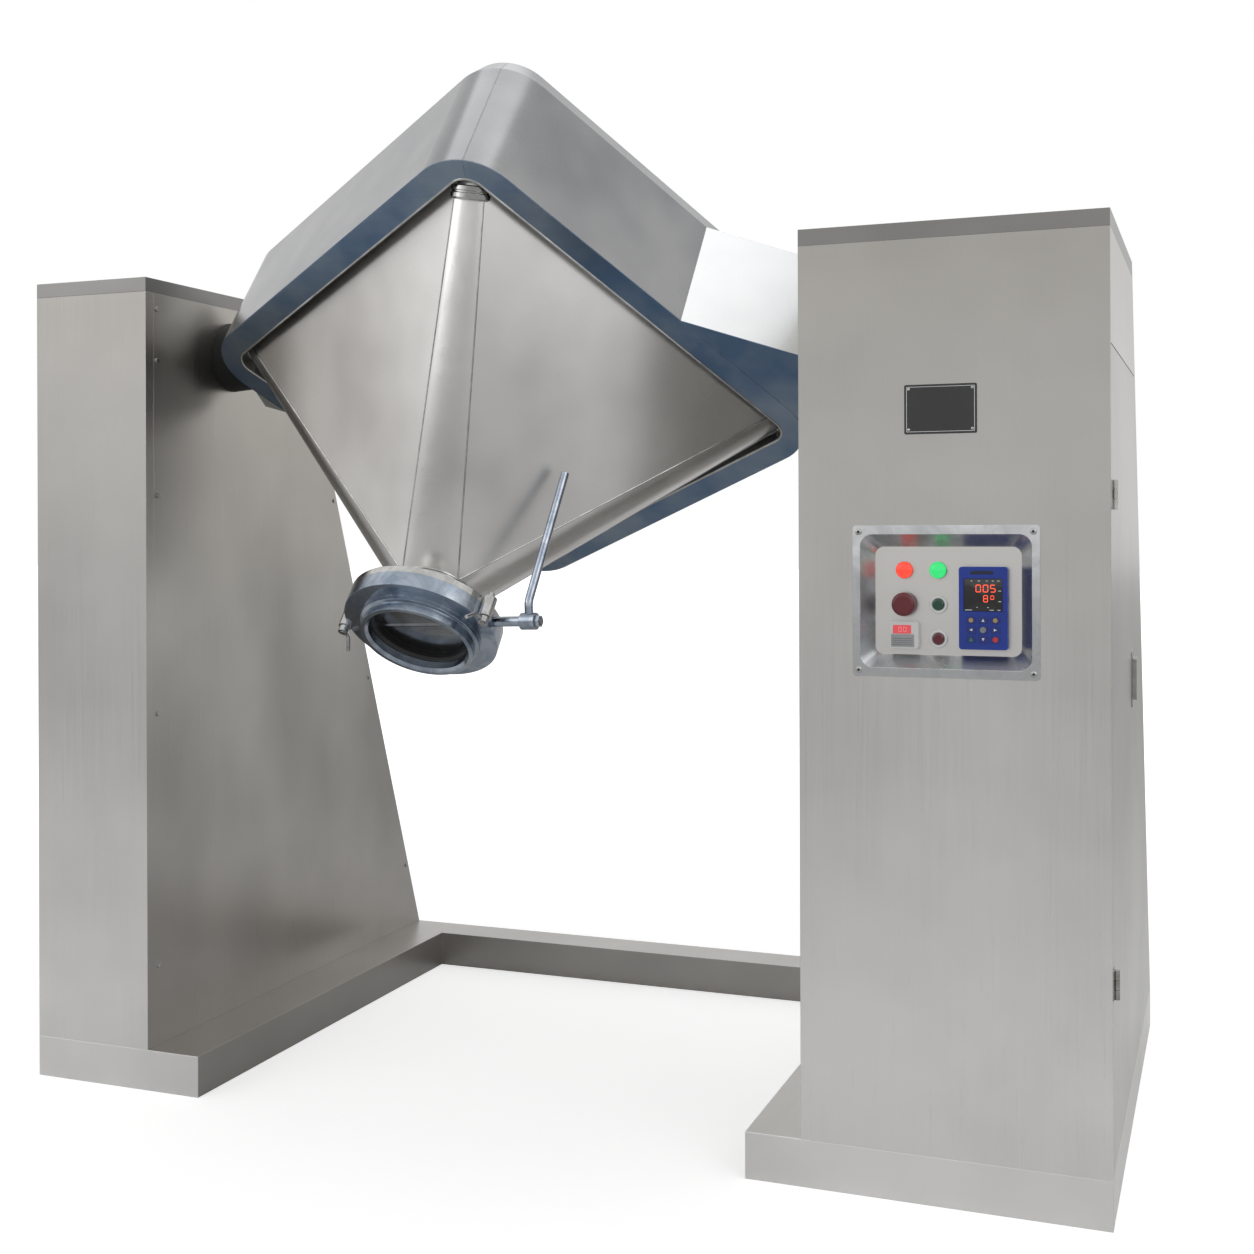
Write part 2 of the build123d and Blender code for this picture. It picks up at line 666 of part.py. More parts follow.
head_out = floor_out + BEZEL_T + STOP_TRAVEL + 2 * RUN
with BuildPart() as stop_plunger:
    with BuildSketch(panel_plane(floor_out - BUTTON_BACK, *stop_place)):
        Circle(BUTTON_R)
    extrude(amount=head_out - floor_out + BUTTON_BACK)
    with BuildSketch(panel_plane(head_out, *stop_place)):
        Circle(STOP_SPINDLE_R)
    extrude(amount=HEAD_T / 2)
save("stop_plunger", stop_plunger.part)
with BuildPart() as stop_head:
    with BuildSketch(panel_plane(head_out, *stop_place)):
        Circle(MUSHROOM_R)
    extrude(amount=HEAD_T)
    fillet(stop_head.faces().sort_by(Axis.Y)[0].edges(), HEAD_T / 2)
    with BuildSketch(panel_plane(head_out, *stop_place)):
        Circle(STOP_SPINDLE_R + FIT)
    extrude(amount=HEAD_T / 2 + FIT, mode=Mode.SUBTRACT)
save("stop_head", stop_head.part)

lamp_bezels = []
lamp_lenses = []
for place in lamp_places:
    with BuildPart() as lamp_bezel:
        with BuildSketch(panel_plane(floor_out, *place)):
            Circle(BEZEL_R)
            Circle(BUTTON_R - 1, mode=Mode.SUBTRACT)
        extrude(amount=BEZEL_T)
    lamp_bezels.append(lamp_bezel.part)
    with BuildPart() as lens:
        with BuildSketch(panel_plane(floor_out, *place)):
            Circle(BUTTON_R - 1)
        extrude(amount=BEZEL_T + LAMP_PROUD)
        fillet(lens.faces().sort_by(Axis.Y)[0].edges(), LAMP_PROUD - 1)
    lamp_lenses.append(lens.part)
save("panel_bezels", *bezels, *lamp_bezels)
save("lamp_lenses", *lamp_lenses)

with BuildPart() as timer:
    with BuildSketch(panel_plane(floor_out, BUTTON_X[0], BUTTON_Z[2] + 6)):
        RectangleRounded(TIMER_W, TIMER_H, 4)
    extrude(amount=TIMER_T)
    with BuildSketch(panel_plane(floor_out + TIMER_T - WINDOW_DEEP, BUTTON_X[0], BUTTON_Z[2])):
        RectangleRounded(TIMER_W * 0.7, TIMER_H * 0.3, 2)
    extrude(amount=WINDOW_DEEP, mode=Mode.SUBTRACT)
save("timer_housing", timer.part)

keypad_top = floor_out + KEYPAD_T
with BuildPart() as keypad_housing:
    with BuildSketch(panel_plane(floor_out, KEYPAD_X, KEYPAD_Z)):
        RectangleRounded(KEYPAD_W, KEYPAD_H, 5)
    extrude(amount=KEYPAD_T)
    with BuildSketch(panel_plane(keypad_top - WINDOW_DEEP, KEYPAD_X, KEYPAD_Z + DISPLAY_UP)):
        Rectangle(DISPLAY_W, DISPLAY_H)
    extrude(amount=WINDOW_DEEP, mode=Mode.SUBTRACT)
save("keypad_housing", keypad_housing.part)
with BuildPart() as keypad_display:
    with BuildSketch(panel_plane(keypad_top - WINDOW_DEEP, KEYPAD_X, KEYPAD_Z + DISPLAY_UP)):
        Rectangle(DISPLAY_W - RUN, DISPLAY_H - RUN)
    extrude(amount=WINDOW_DEEP / 2)
keys = []
for row in range(KEY_ROWS):
    for column in (-1, 0, 1):
        key_place = (KEYPAD_X + column * KEY_PITCH_X, KEYPAD_Z + KEY_FIRST_Z - row * KEY_PITCH_Z)
        with BuildPart() as key:
            with BuildSketch(panel_plane(keypad_top, *key_place)):
                RectangleRounded(KEY_W, KEY_H, 2)
            extrude(amount=1)
        keys.append(key.part)
save("keypad_face", keypad_display.part, *keys)

plate_screw_x = PANEL_W / 2 - 11
plate_screw_z = PANEL_H / 2 - 11
plate_screws = [disc_at((sx * plate_screw_x, sz * plate_screw_z), PLATE_T, 5, 2)
                for sx in (-1, 1) for sz in (-1, 1)]

with BuildPart() as nameplate:
    with BuildSketch(Plane(origin=(panel_x - 6, FRONT_Y, NAMEPLATE_Z), x_dir=(1, 0, 0),
                           z_dir=(0, -1, 0))):
        RectangleRounded(NAMEPLATE_W, NAMEPLATE_H, 3)
    extrude(amount=1)
save("nameplate", nameplate.part)

# Behind the panel: contact blocks, and the drive's inverter on a plate between the posts
block_from = FRONT_Y + TRAY_DEEP + BUTTON_BACK + STOP_TRAVEL
blocks = []
for block_x, block_z in [*push_places.values(), stop_place]:
    blocks.append(box_between(panel_x + block_x - 14, panel_x + block_x + 14,
                              block_from, post_rear_y, PANEL_Z + block_z - 20,
                              PANEL_Z + block_z + 20))
save("contact_blocks", *blocks)
with BuildPart() as inverter:
    with BuildSketch(Plane.XZ.offset(-post_rear_y - SHEET - INVERTER_D)):
        with Locations((panel_x, PANEL_Z - 60)):
            RectangleRounded(INVERTER_W, INVERTER_H, 6)
    extrude(amount=INVERTER_D)
save("inverter", inverter.part)

# Screws that hold the left column's removable inner panel
panel_screws = []
for screw_z in SCREW_ZS:
    for screw_y in (panel_front_y + SCREW_INSET, rear_y(screw_z, SCREW_INSET)):
        with BuildPart() as screw:
            with BuildSketch(Plane.YZ.offset(-INNER_X)):
                with Locations((screw_y, screw_z)):
                    Circle(SCREW_R)
            extrude(amount=SCREW_T)
        panel_screws.append(screw.part)
save("panel_screws", *panel_screws, *plate_screws)


# Bearings, shaft seals and trunnion shafts
def pillow_block(x):
    """Bearing housing on two feet, bored for the shaft's bearing ring."""
    foot_y = BEARING_R + 50
    foot_in = foot_y - 32
    foot_h = 24
    with BuildPart() as block:
        with BuildSketch(Plane.YZ.offset(x - BEARING_T / 2)):
            with Locations((0, AXIS_Z)):
                Circle(BEARING_R)
            Polygon((-foot_y, beam_top), (foot_y, beam_top), (foot_y, beam_top + foot_h),
                    (foot_in, beam_top + foot_h), (BEARING_R, AXIS_Z), (-BEARING_R, AXIS_Z),
                    (-foot_in, beam_top + foot_h), (-foot_y, beam_top + foot_h), align=None)
            with Locations((0, AXIS_Z)):
                Circle(COLLAR_R + FIT, mode=Mode.SUBTRACT)
            with Locations((0, beam_top - BEARING_R / 2)):
                Rectangle(2 * foot_y, BEARING_R, mode=Mode.SUBTRACT)
        extrude(amount=BEARING_T)
    bolts = []
    for way in (-1, 1):
        with BuildPart() as bolt:
            with BuildSketch(Plane.XY.offset(beam_top + foot_h)):
                with Locations((x, way * (foot_y + foot_in) / 2)):
                    RegularPolygon(12, 6)
            extrude(amount=10)
        bolts.append(bolt.part)
    return block.part, bolts


left_block, left_bolts = pillow_block(left_bearing_x)
right_block, right_bolts = pillow_block(right_bearing_x)
save("shaft_bearings", left_block, right_block, *left_bolts, *right_bolts)


def turned(axis_plane, axis, points):
    """A turned piece: its half profile, given as radius and length, swept round."""
    with BuildPart() as piece:
        with BuildSketch(axis_plane):
            Polygon(*points, align=None)
        revolve(axis=axis)
    return piece.part


SPIN_PROFILE = Plane(origin=(0, 0, AXIS_Z), x_dir=(0, 0, 1), z_dir=(0, -1, 0))
COLLAR_LONG = BEARING_T + 12
left_flange_x = VESSEL_X - TRUNNION_X
right_flange_x = VESSEL_X + TRUNNION_X


def trunnion(flange_x, bearing_x, end_x, way):
    """Flange, shaft and bearing ring, from the bracket's face to the shaft's end."""
    collar_in = bearing_x - way * COLLAR_LONG / 2
    collar_out = bearing_x + way * COLLAR_LONG / 2
    face_x = flange_x + way * TRUNNION_FLANGE
    profile = [(0, flange_x), (TRUNNION_FLANGE_R, flange_x), (TRUNNION_FLANGE_R, face_x),
               (SHAFT_R, face_x), (SHAFT_R, collar_in), (COLLAR_R, collar_in),
               (COLLAR_R, collar_out), (SHAFT_R, collar_out), (SHAFT_R, end_x), (0, end_x)]
    return turned(SPIN_PROFILE, SPIN, [(r, -x) for r, x in profile])


save("trunnions",
     trunnion(left_flange_x, left_bearing_x, left_bearing_x - COLLAR_LONG / 2 - SHAFT_PAST, -1),
     trunnion(right_flange_x, right_bearing_x, reducer_x1 + SHAFT_PAST, 1))

seals = []
for face_x, flange_x in ((-INNER_X, left_flange_x - TRUNNION_FLANGE),
                         (INNER_X, right_flange_x + TRUNNION_FLANGE)):
    lip_x = flange_x + math.copysign(SEAL_GAP, face_x)
    seals.append(turned(SPIN_PROFILE, SPIN, [
        (SHAFT_R + RUN, -face_x), (SEAL_R, -face_x), (SEAL_R - 4, -lip_x), (SHAFT_R + RUN, -lip_x)]))
save("shaft_seals", *seals)

# Worm reducer on the shaft: a hollow case and cover round the wheel and the worm
worm_y = WHEEL_R + WORM_GAP + WORM_R
case_r = WHEEL_R + CASE_GAP
case_half = case_r + REDUCER_WALL
worm_side_y = worm_y + WORM_R + CASE_GAP
CENTRE_X = reducer_x0 + REDUCER_T / 2


def case_outline(grow):
    """Round wheel chamber joined to the straight worm chamber, in the YZ plane."""
    with BuildSketch(Plane.YZ) as outline:
        with Locations((0, AXIS_Z)):
            Circle(case_r + grow)
        with Locations(((worm_side_y + grow) / 2, AXIS_Z)):
            Rectangle(worm_side_y + grow, 2 * (case_r + grow))
    return outline.sketch.moved(Location((reducer_x0, 0, 0)))


with BuildPart() as reducer_case:
    extrude(case_outline(REDUCER_WALL), amount=REDUCER_T - REDUCER_WALL, dir=(1, 0, 0))
    cavity = case_outline(0).moved(Location((REDUCER_WALL, 0, 0)))
    extrude(cavity, amount=REDUCER_T, dir=(1, 0, 0), mode=Mode.SUBTRACT)
    with BuildSketch(Plane.YZ.offset(reducer_x0)):
        with Locations((0, AXIS_Z)):
            Circle(SHAFT_R + FIT)
    extrude(amount=REDUCER_WALL, mode=Mode.SUBTRACT)
    with BuildSketch(Plane.XY.offset(AXIS_Z - case_half)):
        with Locations((CENTRE_X, worm_y)):
            Circle(MOTOR_SHAFT_R + FIT)
    extrude(amount=2 * case_half - REDUCER_WALL / 2, mode=Mode.SUBTRACT)
with BuildPart() as reducer_cover:
    plate_outline = case_outline(REDUCER_WALL).moved(Location((REDUCER_T - REDUCER_WALL, 0, 0)))
    extrude(plate_outline, amount=REDUCER_WALL, dir=(1, 0, 0))
    with BuildSketch(Plane.YZ.offset(reducer_x0)):
        with Locations((0, AXIS_Z)):
            Circle(SHAFT_R + FIT)
    extrude(amount=REDUCER_T, mode=Mode.SUBTRACT)
save("reducer_case", reducer_case.part, reducer_cover.part)
with BuildPart() as worm_wheel:
    with BuildSketch(Plane.YZ.offset(CENTRE_X - WHEEL_T / 2)):
        with Locations((0, AXIS_Z)):
            Circle(WHEEL_R)
            Circle(SHAFT_R + FIT, mode=Mode.SUBTRACT)
            with PolarLocations(WHEEL_R * 0.66, 6):
                Circle(14, mode=Mode.SUBTRACT)
    extrude(amount=WHEEL_T)
save("worm_wheel", worm_wheel.part)

# Motor line, upright below the worm: worm shaft, coupling, motor with its fan
MOTOR_AXIS = Axis((CENTRE_X, worm_y, 0), (0, 0, 1))
MOTOR_PROFILE = Plane(origin=(CENTRE_X, worm_y, 0), x_dir=(1, 0, 0), z_dir=(0, -1, 0))
case_foot_z = AXIS_Z - case_half
motor_top_z = case_foot_z - LANTERN_LONG
motor_foot_z = motor_top_z - MOTOR_LONG
worm_half = WHEEL_R * 0.8
worm_foot_z = case_foot_z - LANTERN_LONG * 0.45
shaft_tip_z = case_foot_z - LANTERN_LONG * 0.5
save("worm_shaft", turned(MOTOR_PROFILE, MOTOR_AXIS, [
    (0, worm_foot_z), (MOTOR_SHAFT_R, worm_foot_z), (MOTOR_SHAFT_R, AXIS_Z - worm_half),
    (WORM_R, AXIS_Z - worm_half), (WORM_R, AXIS_Z + worm_half),
    (MOTOR_SHAFT_R, AXIS_Z + worm_half), (MOTOR_SHAFT_R, AXIS_Z + case_r + RUN),
    (0, AXIS_Z + case_r + RUN)]))
save("coupling",
     turned(MOTOR_PROFILE, MOTOR_AXIS, [
         (MOTOR_SHAFT_R + FIT, worm_foot_z), (HUB_R, worm_foot_z),
         (HUB_R, worm_foot_z + HUB_LONG), (MOTOR_SHAFT_R + FIT, worm_foot_z + HUB_LONG)]),
     turned(MOTOR_PROFILE, MOTOR_AXIS, [
         (0, shaft_tip_z), (HUB_R, shaft_tip_z), (HUB_R, worm_foot_z), (0, worm_foot_z)]),
     turned(MOTOR_PROFILE, MOTOR_AXIS, [
         (MOTOR_SHAFT_R + FIT, shaft_tip_z - HUB_LONG), (HUB_R, shaft_tip_z - HUB_LONG),
         (HUB_R, shaft_tip_z), (MOTOR_SHAFT_R + FIT, shaft_tip_z)]))
save("motor_shaft", turned(MOTOR_PROFILE, MOTOR_AXIS, [
    (0, motor_foot_z - FAN_SPACE + 8), (MOTOR_SHAFT_R, motor_foot_z - FAN_SPACE + 8),
    (MOTOR_SHAFT_R, shaft_tip_z), (0, shaft_tip_z)]))

with BuildPart() as lantern:
    with BuildSketch(Plane.XY.offset(motor_top_z)):
        with Locations((CENTRE_X, worm_y)):
            Circle(LANTERN_R)
            Circle(LANTERN_R - LANTERN_WALL, mode=Mode.SUBTRACT)
    extrude(amount=LANTERN_LONG)
    with BuildSketch(Plane.XY.offset(motor_top_z)):
        with Locations((CENTRE_X, worm_y)):
            Circle(MOTOR_R - 8)
            Circle(LANTERN_R - LANTERN_WALL, mode=Mode.SUBTRACT)
    extrude(amount=LANTERN_WALL)
    with BuildSketch(Plane.XZ.offset(-worm_y - LANTERN_R)):
        with Locations((CENTRE_X, motor_top_z + LANTERN_LONG / 2 + LANTERN_WALL / 2)):
            RectangleRounded(50, LANTERN_LONG * 0.5, 12)
    extrude(amount=2 * LANTERN_R, mode=Mode.SUBTRACT)

BARREL_R = MOTOR_R - 13
with BuildPart() as motor_body:
    with BuildSketch(Plane.XY.offset(motor_foot_z)):
        with Locations((CENTRE_X, worm_y)):
            Circle(BARREL_R)
            with PolarLocations(BARREL_R - 1 + (MOTOR_R - BARREL_R + 1) / 2, FINS):
                Rectangle(MOTOR_R - BARREL_R + 1, FIN_T)
            Circle(MOTOR_SHAFT_R + FIT, mode=Mode.SUBTRACT)
    extrude(amount=MOTOR_LONG)

with BuildPart() as motor_fan:
    with BuildSketch(Plane.XY.offset(motor_foot_z - FAN_SPACE + 12)):
        with Locations((CENTRE_X, worm_y)):
            Circle(MOTOR_R * 0.8)
            Circle(MOTOR_SHAFT_R + FIT, mode=Mode.SUBTRACT)
    extrude(amount=4)
    with BuildSketch(Plane.XY.offset(motor_foot_z - FAN_SPACE + 16)):
        with Locations((CENTRE_X, worm_y)):
            Circle(MOTOR_SHAFT_R + 8)
            with PolarLocations(MOTOR_R * 0.45, BLADES):
                Rectangle(MOTOR_R * 0.6, 4)
            Circle(MOTOR_SHAFT_R + FIT, mode=Mode.SUBTRACT)
    extrude(amount=18)
save("motor_fan", motor_fan.part)
with BuildPart() as fan_cowl:
    with BuildSketch(Plane.XY.offset(motor_foot_z - FAN_SPACE - COWL_T)):
        with Locations((CENTRE_X, worm_y)):
            Circle(MOTOR_R)
    extrude(amount=FAN_SPACE + COWL_T)
    with BuildSketch(Plane.XY.offset(motor_foot_z - FAN_SPACE)):
        with Locations((CENTRE_X, worm_y)):
            Circle(MOTOR_R - COWL_T)
    extrude(amount=FAN_SPACE, mode=Mode.SUBTRACT)
    with BuildSketch(Plane.XY.offset(motor_foot_z - FAN_SPACE - COWL_T)):
        with Locations((CENTRE_X, worm_y)):
            with PolarLocations(MOTOR_R * 0.55, 16):
                SlotOverall(MOTOR_R * 0.5, 8)
    extrude(amount=COWL_T, mode=Mode.SUBTRACT)
save("motor_body", lantern.part, motor_body.part, fan_cowl.part)


# Vessel: four mitred bars make the band that the two cones are welded to
second_dir = outlet_dir.cross(side_dir)
PROFILE = Plane(origin=CENTRE, x_dir=side_dir, z_dir=second_dir * -1)
with BuildPart() as band_ring:
    with BuildSketch(VESSEL.offset(-BAND_HALF + BEVEL_LONG)):
        RectangleRounded(2 * HALF_OUT, 2 * HALF_OUT, CORNER_OUT)
    extrude(amount=2 * BAND_HALF - BEVEL_LONG)
    with BuildSketch(VESSEL.offset(-BAND_HALF + BEVEL_LONG)):
        RectangleRounded(2 * HALF_OUT, 2 * HALF_OUT, CORNER_OUT)
    with BuildSketch(VESSEL.offset(-BAND_HALF)):
        bevelled = HALF_OUT - BEVEL_IN
        RectangleRounded(2 * bevelled, 2 * bevelled, CORNER_OUT - BEVEL_IN)
    loft(ruled=True)
    with BuildSketch(VESSEL.offset(-BAND_HALF)):
        RectangleRounded(2 * HALF_IN, 2 * HALF_IN, CORNER_IN)
    extrude(amount=2 * BAND_HALF, mode=Mode.SUBTRACT)
    hollow_in = HALF_IN + BAND_PLATE
    for hollow_out, z0, z1 in ((bevelled - BAND_PLATE, BAND_PLATE - BAND_HALF, BEVEL_LONG - BAND_HALF),
                               (HALF_OUT - BAND_PLATE, BEVEL_LONG - BAND_HALF, BAND_HALF - BAND_PLATE)):
        with BuildSketch(VESSEL.offset(z0)):
            RectangleRounded(2 * hollow_out, 2 * hollow_out, hollow_out - HALF_OUT + CORNER_OUT)
            RectangleRounded(2 * hollow_in, 2 * hollow_in, CORNER_IN, mode=Mode.SUBTRACT)
        extrude(amount=z1 - z0, mode=Mode.SUBTRACT)
bars = []
reach = HALF_OUT + 10
for quarter in range(4):
    with BuildPart() as bar:
        add(band_ring.part)
        with BuildSketch(VESSEL.offset(-BAND_HALF - 1)):
            Polygon((0, 0), (reach, -reach), (reach, reach), rotation=90 * quarter, align=None)
        extrude(amount=2 * BAND_HALF + 2, mode=Mode.INTERSECT)
    bars.append(bar.part)
save("band_bars", *bars)


def cone_walls(foot_z, neck_z, neck_r):
    """Square-to-round cone: four flat walls, and the four rounded corners between."""
    skirt_z = foot_z - math.copysign(SKIRT, neck_z)
    flat_half = HALF_IN - CORNER_IN
    tip_half = WALL / 4
    walls = []
    corners = []
    with BuildPart() as wall:
        for z in (skirt_z, foot_z):
            with BuildSketch(VESSEL.offset(z)):
                with Locations((HALF_IN - WALL / 2, 0)):
                    Rectangle(WALL, 2 * flat_half)
        loft(ruled=True)
        with BuildSketch(VESSEL.offset(foot_z)):
            with Locations((HALF_IN - WALL / 2, 0)):
                Rectangle(WALL, 2 * flat_half)
        with BuildSketch(VESSEL.offset(neck_z)):
            with Locations((neck_r - WALL / 2, 0)):
                Rectangle(WALL, 2 * tip_half)
        loft(ruled=True)
    with BuildPart() as corner:
        for z in (skirt_z, foot_z):
            with BuildSketch(VESSEL.offset(z)):
                quarter_ring(flat_half, CORNER_IN)
        loft(ruled=True)
        with BuildSketch(VESSEL.offset(foot_z)):
            quarter_ring(flat_half, CORNER_IN)
        with BuildSketch(VESSEL.offset(neck_z)):
            quarter_ring(tip_half, neck_r - tip_half)
        loft(ruled=True)
    for quarter in range(4):
        walls.append(wall.part.rotate(VESSEL_AXIS, 90 * quarter))
        corners.append(corner.part.rotate(VESSEL_AXIS, 90 * quarter))
    return walls, corners


def quarter_ring(centre, outer_r):
    """Sketch of a quarter ring, one wall thick, with its centre on the diagonal."""
    with Locations((centre, centre)):
        Circle(outer_r)
        Circle(outer_r - WALL, mode=Mode.SUBTRACT)
        Rectangle(outer_r, outer_r, align=(Align.MIN, Align.MIN), mode=Mode.INTERSECT)


cone_foot = BAND_HALF - CONE_RECESS
outlet_walls, outlet_corners = cone_walls(cone_foot, OUTLET_Z, OUTLET_R)
feed_walls, feed_corners = cone_walls(-cone_foot, -FEED_Z, FEED_R)
save("outlet_cone", *outlet_walls, *outlet_corners)
save("feed_cone", *feed_walls, *feed_corners)

# Brackets between the band and the trunnions, tapering to the flange
spin_in_band = Vector(side_dir.X, second_dir.X)
spin_across = Vector(-spin_in_band.Y, spin_in_band.X)
end_top = spin_in_band * TRUNNION_X + spin_across * END_HALF
end_foot = spin_in_band * TRUNNION_X - spin_across * END_HALF
corner_mid = HALF_OUT - CORNER_OUT * (1 - math.sqrt(0.5)) - 1


def trunnion_bracket(end_z):
    """Wedge from the band's corner out to the shaft's flange, from the bevel to end_z."""
    with BuildPart() as bracket:
        with BuildSketch(VESSEL.offset(-BAND_HALF + BEVEL_LONG)):
            Polygon((HALF_IN, -BRACKET_FROM_MIDDLE), (HALF_OUT, -BRACKET_FROM_MIDDLE),
                    (end_top.X, end_top.Y), (end_foot.X, end_foot.Y),
                    (corner_mid, -corner_mid), (HALF_IN, -HALF_IN), align=None)
            RectangleRounded(2 * HALF_OUT, 2 * HALF_OUT, CORNER_OUT, mode=Mode.SUBTRACT)
        extrude(amount=end_z + BAND_HALF - BEVEL_LONG)
    return bracket.part


save("trunnion_brackets", trunnion_bracket(BAND_HALF),
     trunnion_bracket(LEFT_BRACKET_Z).rotate(VESSEL_AXIS, 180))

# Discharge: neck, its flange, and the butterfly valve's spigot ring
neck_end = OUTLET_Z + NECK_LONG
spigot_z = neck_end + NECK_FLANGE
spigot_face = spigot_z + SPIGOT_FLANGE
mouth_z = spigot_face + SPIGOT_LONG
seat_end = spigot_z + SEAT_LONG
stem_z = spigot_z + SEAT_LONG / 2
bore_r = SEAT_R + 2
save("outlet_neck", turned(PROFILE, VESSEL_AXIS, [
    (OUTLET_R - WALL, OUTLET_Z), (OUTLET_R, OUTLET_Z), (OUTLET_R, neck_end - NECK_FLARE),
    (OUTLET_R + NECK_FLARE, neck_end), (FLANGE_R, neck_end), (FLANGE_R, spigot_z),
    (bore_r, spigot_z), (bore_r, neck_end), (OUTLET_R - WALL, neck_end - NECK_FLARE)]))

valve_angle = math.radians(VALVE_TURN)
stem_dir = side_dir * math.cos(valve_angle) + second_dir * math.sin(valve_angle)
lever_dir = second_dir * math.cos(valve_angle) - side_dir * math.sin(valve_angle)
STEM_MIDDLE = CENTRE + outlet_dir * stem_z
STEM = Plane(origin=STEM_MIDDLE, x_dir=outlet_dir * -1, z_dir=stem_dir)
HUB_START = FLANGE_R + BOSS_LONG + 2
STEM_END = HUB_START + HUB_WIDE + 10
STEM_TAIL = SEAT_OUT_R + 10


def bored_for_stem(ring):
    """The ring given, with the stem's bore through it from the tail to outside."""
    with BuildPart() as bored:
        add(ring)
        with BuildSketch(STEM.offset(-STEM_TAIL - RUN)):
            Circle(STEM_R + FIT)
        extrude(amount=STEM_TAIL + STEM_END, mode=Mode.SUBTRACT)
    return bored.part


step_out = SPIGOT_R + 6
spigot_ring = turned(PROFILE, VESSEL_AXIS, [
    (SEAT_OUT_R, spigot_z), (FLANGE_R, spigot_z), (FLANGE_R, spigot_face),
    (step_out, spigot_face), (step_out, spigot_face + 8), (SPIGOT_R, spigot_face + 10),
    (SPIGOT_R, mouth_z), (MOUTH_R + 5, mouth_z), (MOUTH_R, mouth_z - 5),
    (MOUTH_R, spigot_face + 4), (bore_r, spigot_face), (bore_r, seat_end), (SEAT_OUT_R, seat_end)])
with BuildPart() as spigot_with_boss:
    add(spigot_ring)
    with BuildSketch(STEM.offset(FLANGE_R - 3)):
        Circle(BOSS_R)
    extrude(amount=BOSS_LONG + 3)
save("discharge_spigot", bored_for_stem(spigot_with_boss.part))
valve_seat = bored_for_stem(turned(PROFILE, VESSEL_AXIS, [
    (SEAT_R, spigot_z), (SEAT_OUT_R, spigot_z), (SEAT_OUT_R, seat_end), (SEAT_R, seat_end)]))

with BuildPart() as valve_disc:
    with BuildSketch(VESSEL.offset(stem_z - DISC_T / 2)):
        Circle(SEAT_R - DISC_GAP)
    extrude(amount=DISC_T)
    with BuildSketch(STEM.offset(-STEM_TAIL)):
        Circle(STEM_R)
    extrude(amount=STEM_TAIL + STEM_END)
save("valve_disc", valve_disc.part)

hub_middle = STEM_MIDDLE + stem_dir * (HUB_START + HUB_WIDE / 2)
foot_lean = math.radians(FOOT_LEAN)
foot_dir = outlet_dir * -math.cos(foot_lean) + lever_dir * math.sin(foot_lean)
lever_tip = hub_middle - outlet_dir * LEVER_UP + lever_dir * LEVER_OVER + stem_dir * LEVER_OUT
with BuildPart() as valve_lever:
    with BuildSketch(STEM.offset(HUB_START)):
        Circle(15)
        Circle(STEM_R + FIT, mode=Mode.SUBTRACT)
    extrude(amount=HUB_WIDE)
    with BuildLine() as lever_route:
        lever_start = hub_middle + foot_dir * (STEM_R + 2)
        bend = hub_middle + foot_dir * FOOT_LONG
        FilletPolyline(lever_start, bend, lever_tip, radius=30)
    with BuildSketch(Plane(origin=lever_route.line @ 0, z_dir=foot_dir)):
        Circle(LEVER_R)
    sweep()
with BuildPart() as stem_nut:
    with BuildSketch(STEM.offset(HUB_START + HUB_WIDE + RUN)):
        RegularPolygon(11, 6)
        Circle(STEM_R + FIT, mode=Mode.SUBTRACT)
    extrude(amount=8)
save("valve_lever", valve_lever.part, stem_nut.part)

# Two clamps hold the spigot ring: a bolt through eye lugs and a nut with a bent bar
CLAMP_TURNS = (VALVE_TURN + 15, VALVE_TURN + 174)
CLAMP_RING = FLANGE_R + 10
clamp_bolts = []
clamp_nuts = []
for clamp_turn in CLAMP_TURNS:
    turn = math.radians(clamp_turn)
    place = (CLAMP_RING * math.cos(turn), CLAMP_RING * math.sin(turn))
    with BuildPart() as clamp_bolt:
        for lug_z, lug_t in ((neck_end, NECK_FLANGE), (spigot_z, SPIGOT_FLANGE)):
            with BuildSketch(VESSEL.offset(lug_z)):
                with Locations(place):
                    Circle(CLAMP_LUG_R)
                Circle(FLANGE_R, mode=Mode.SUBTRACT)
            extrude(amount=lug_t)
        with BuildSketch(VESSEL.offset(neck_end - 10)):
            with Locations(place):
                Circle(CLAMP_BOLT_R)
        extrude(amount=spigot_face + NUT_T + 12 - neck_end)
    clamp_bolts.append(clamp_bolt.part)
    with BuildPart() as clamp_nut:
        with BuildSketch(VESSEL.offset(spigot_face + RUN)):
            with Locations(place):
                Circle(NUT_R)
        extrude(amount=NUT_T)
        bar_start = VESSEL.from_local_coords(Vector(*place, spigot_face + NUT_T / 2))
        tangent = VESSEL.from_local_coords(Vector(-math.sin(turn), math.cos(turn), 0)) - CENTRE
        with BuildLine() as bar_route:
            FilletPolyline(bar_start, bar_start + tangent * (CLAMP_BAR_LONG - 18),
                           bar_start + tangent * CLAMP_BAR_LONG + outlet_dir * CLAMP_BAR_LONG / 2, radius=12)
        with BuildSketch(Plane(origin=bar_start, z_dir=tangent)):
            Circle(CLAMP_BAR_R)
        sweep()
        with BuildSketch(VESSEL.offset(spigot_face)):
            with Locations(place):
                Circle(CLAMP_BOLT_R + FIT)
        extrude(amount=2 * NUT_T, mode=Mode.SUBTRACT)
    clamp_nuts.append(clamp_nut.part)
save("clamp_bolts", *clamp_bolts)
for number, clamp_nut in enumerate(clamp_nuts, 1):
    save(f"clamp_nut_{number}", clamp_nut)

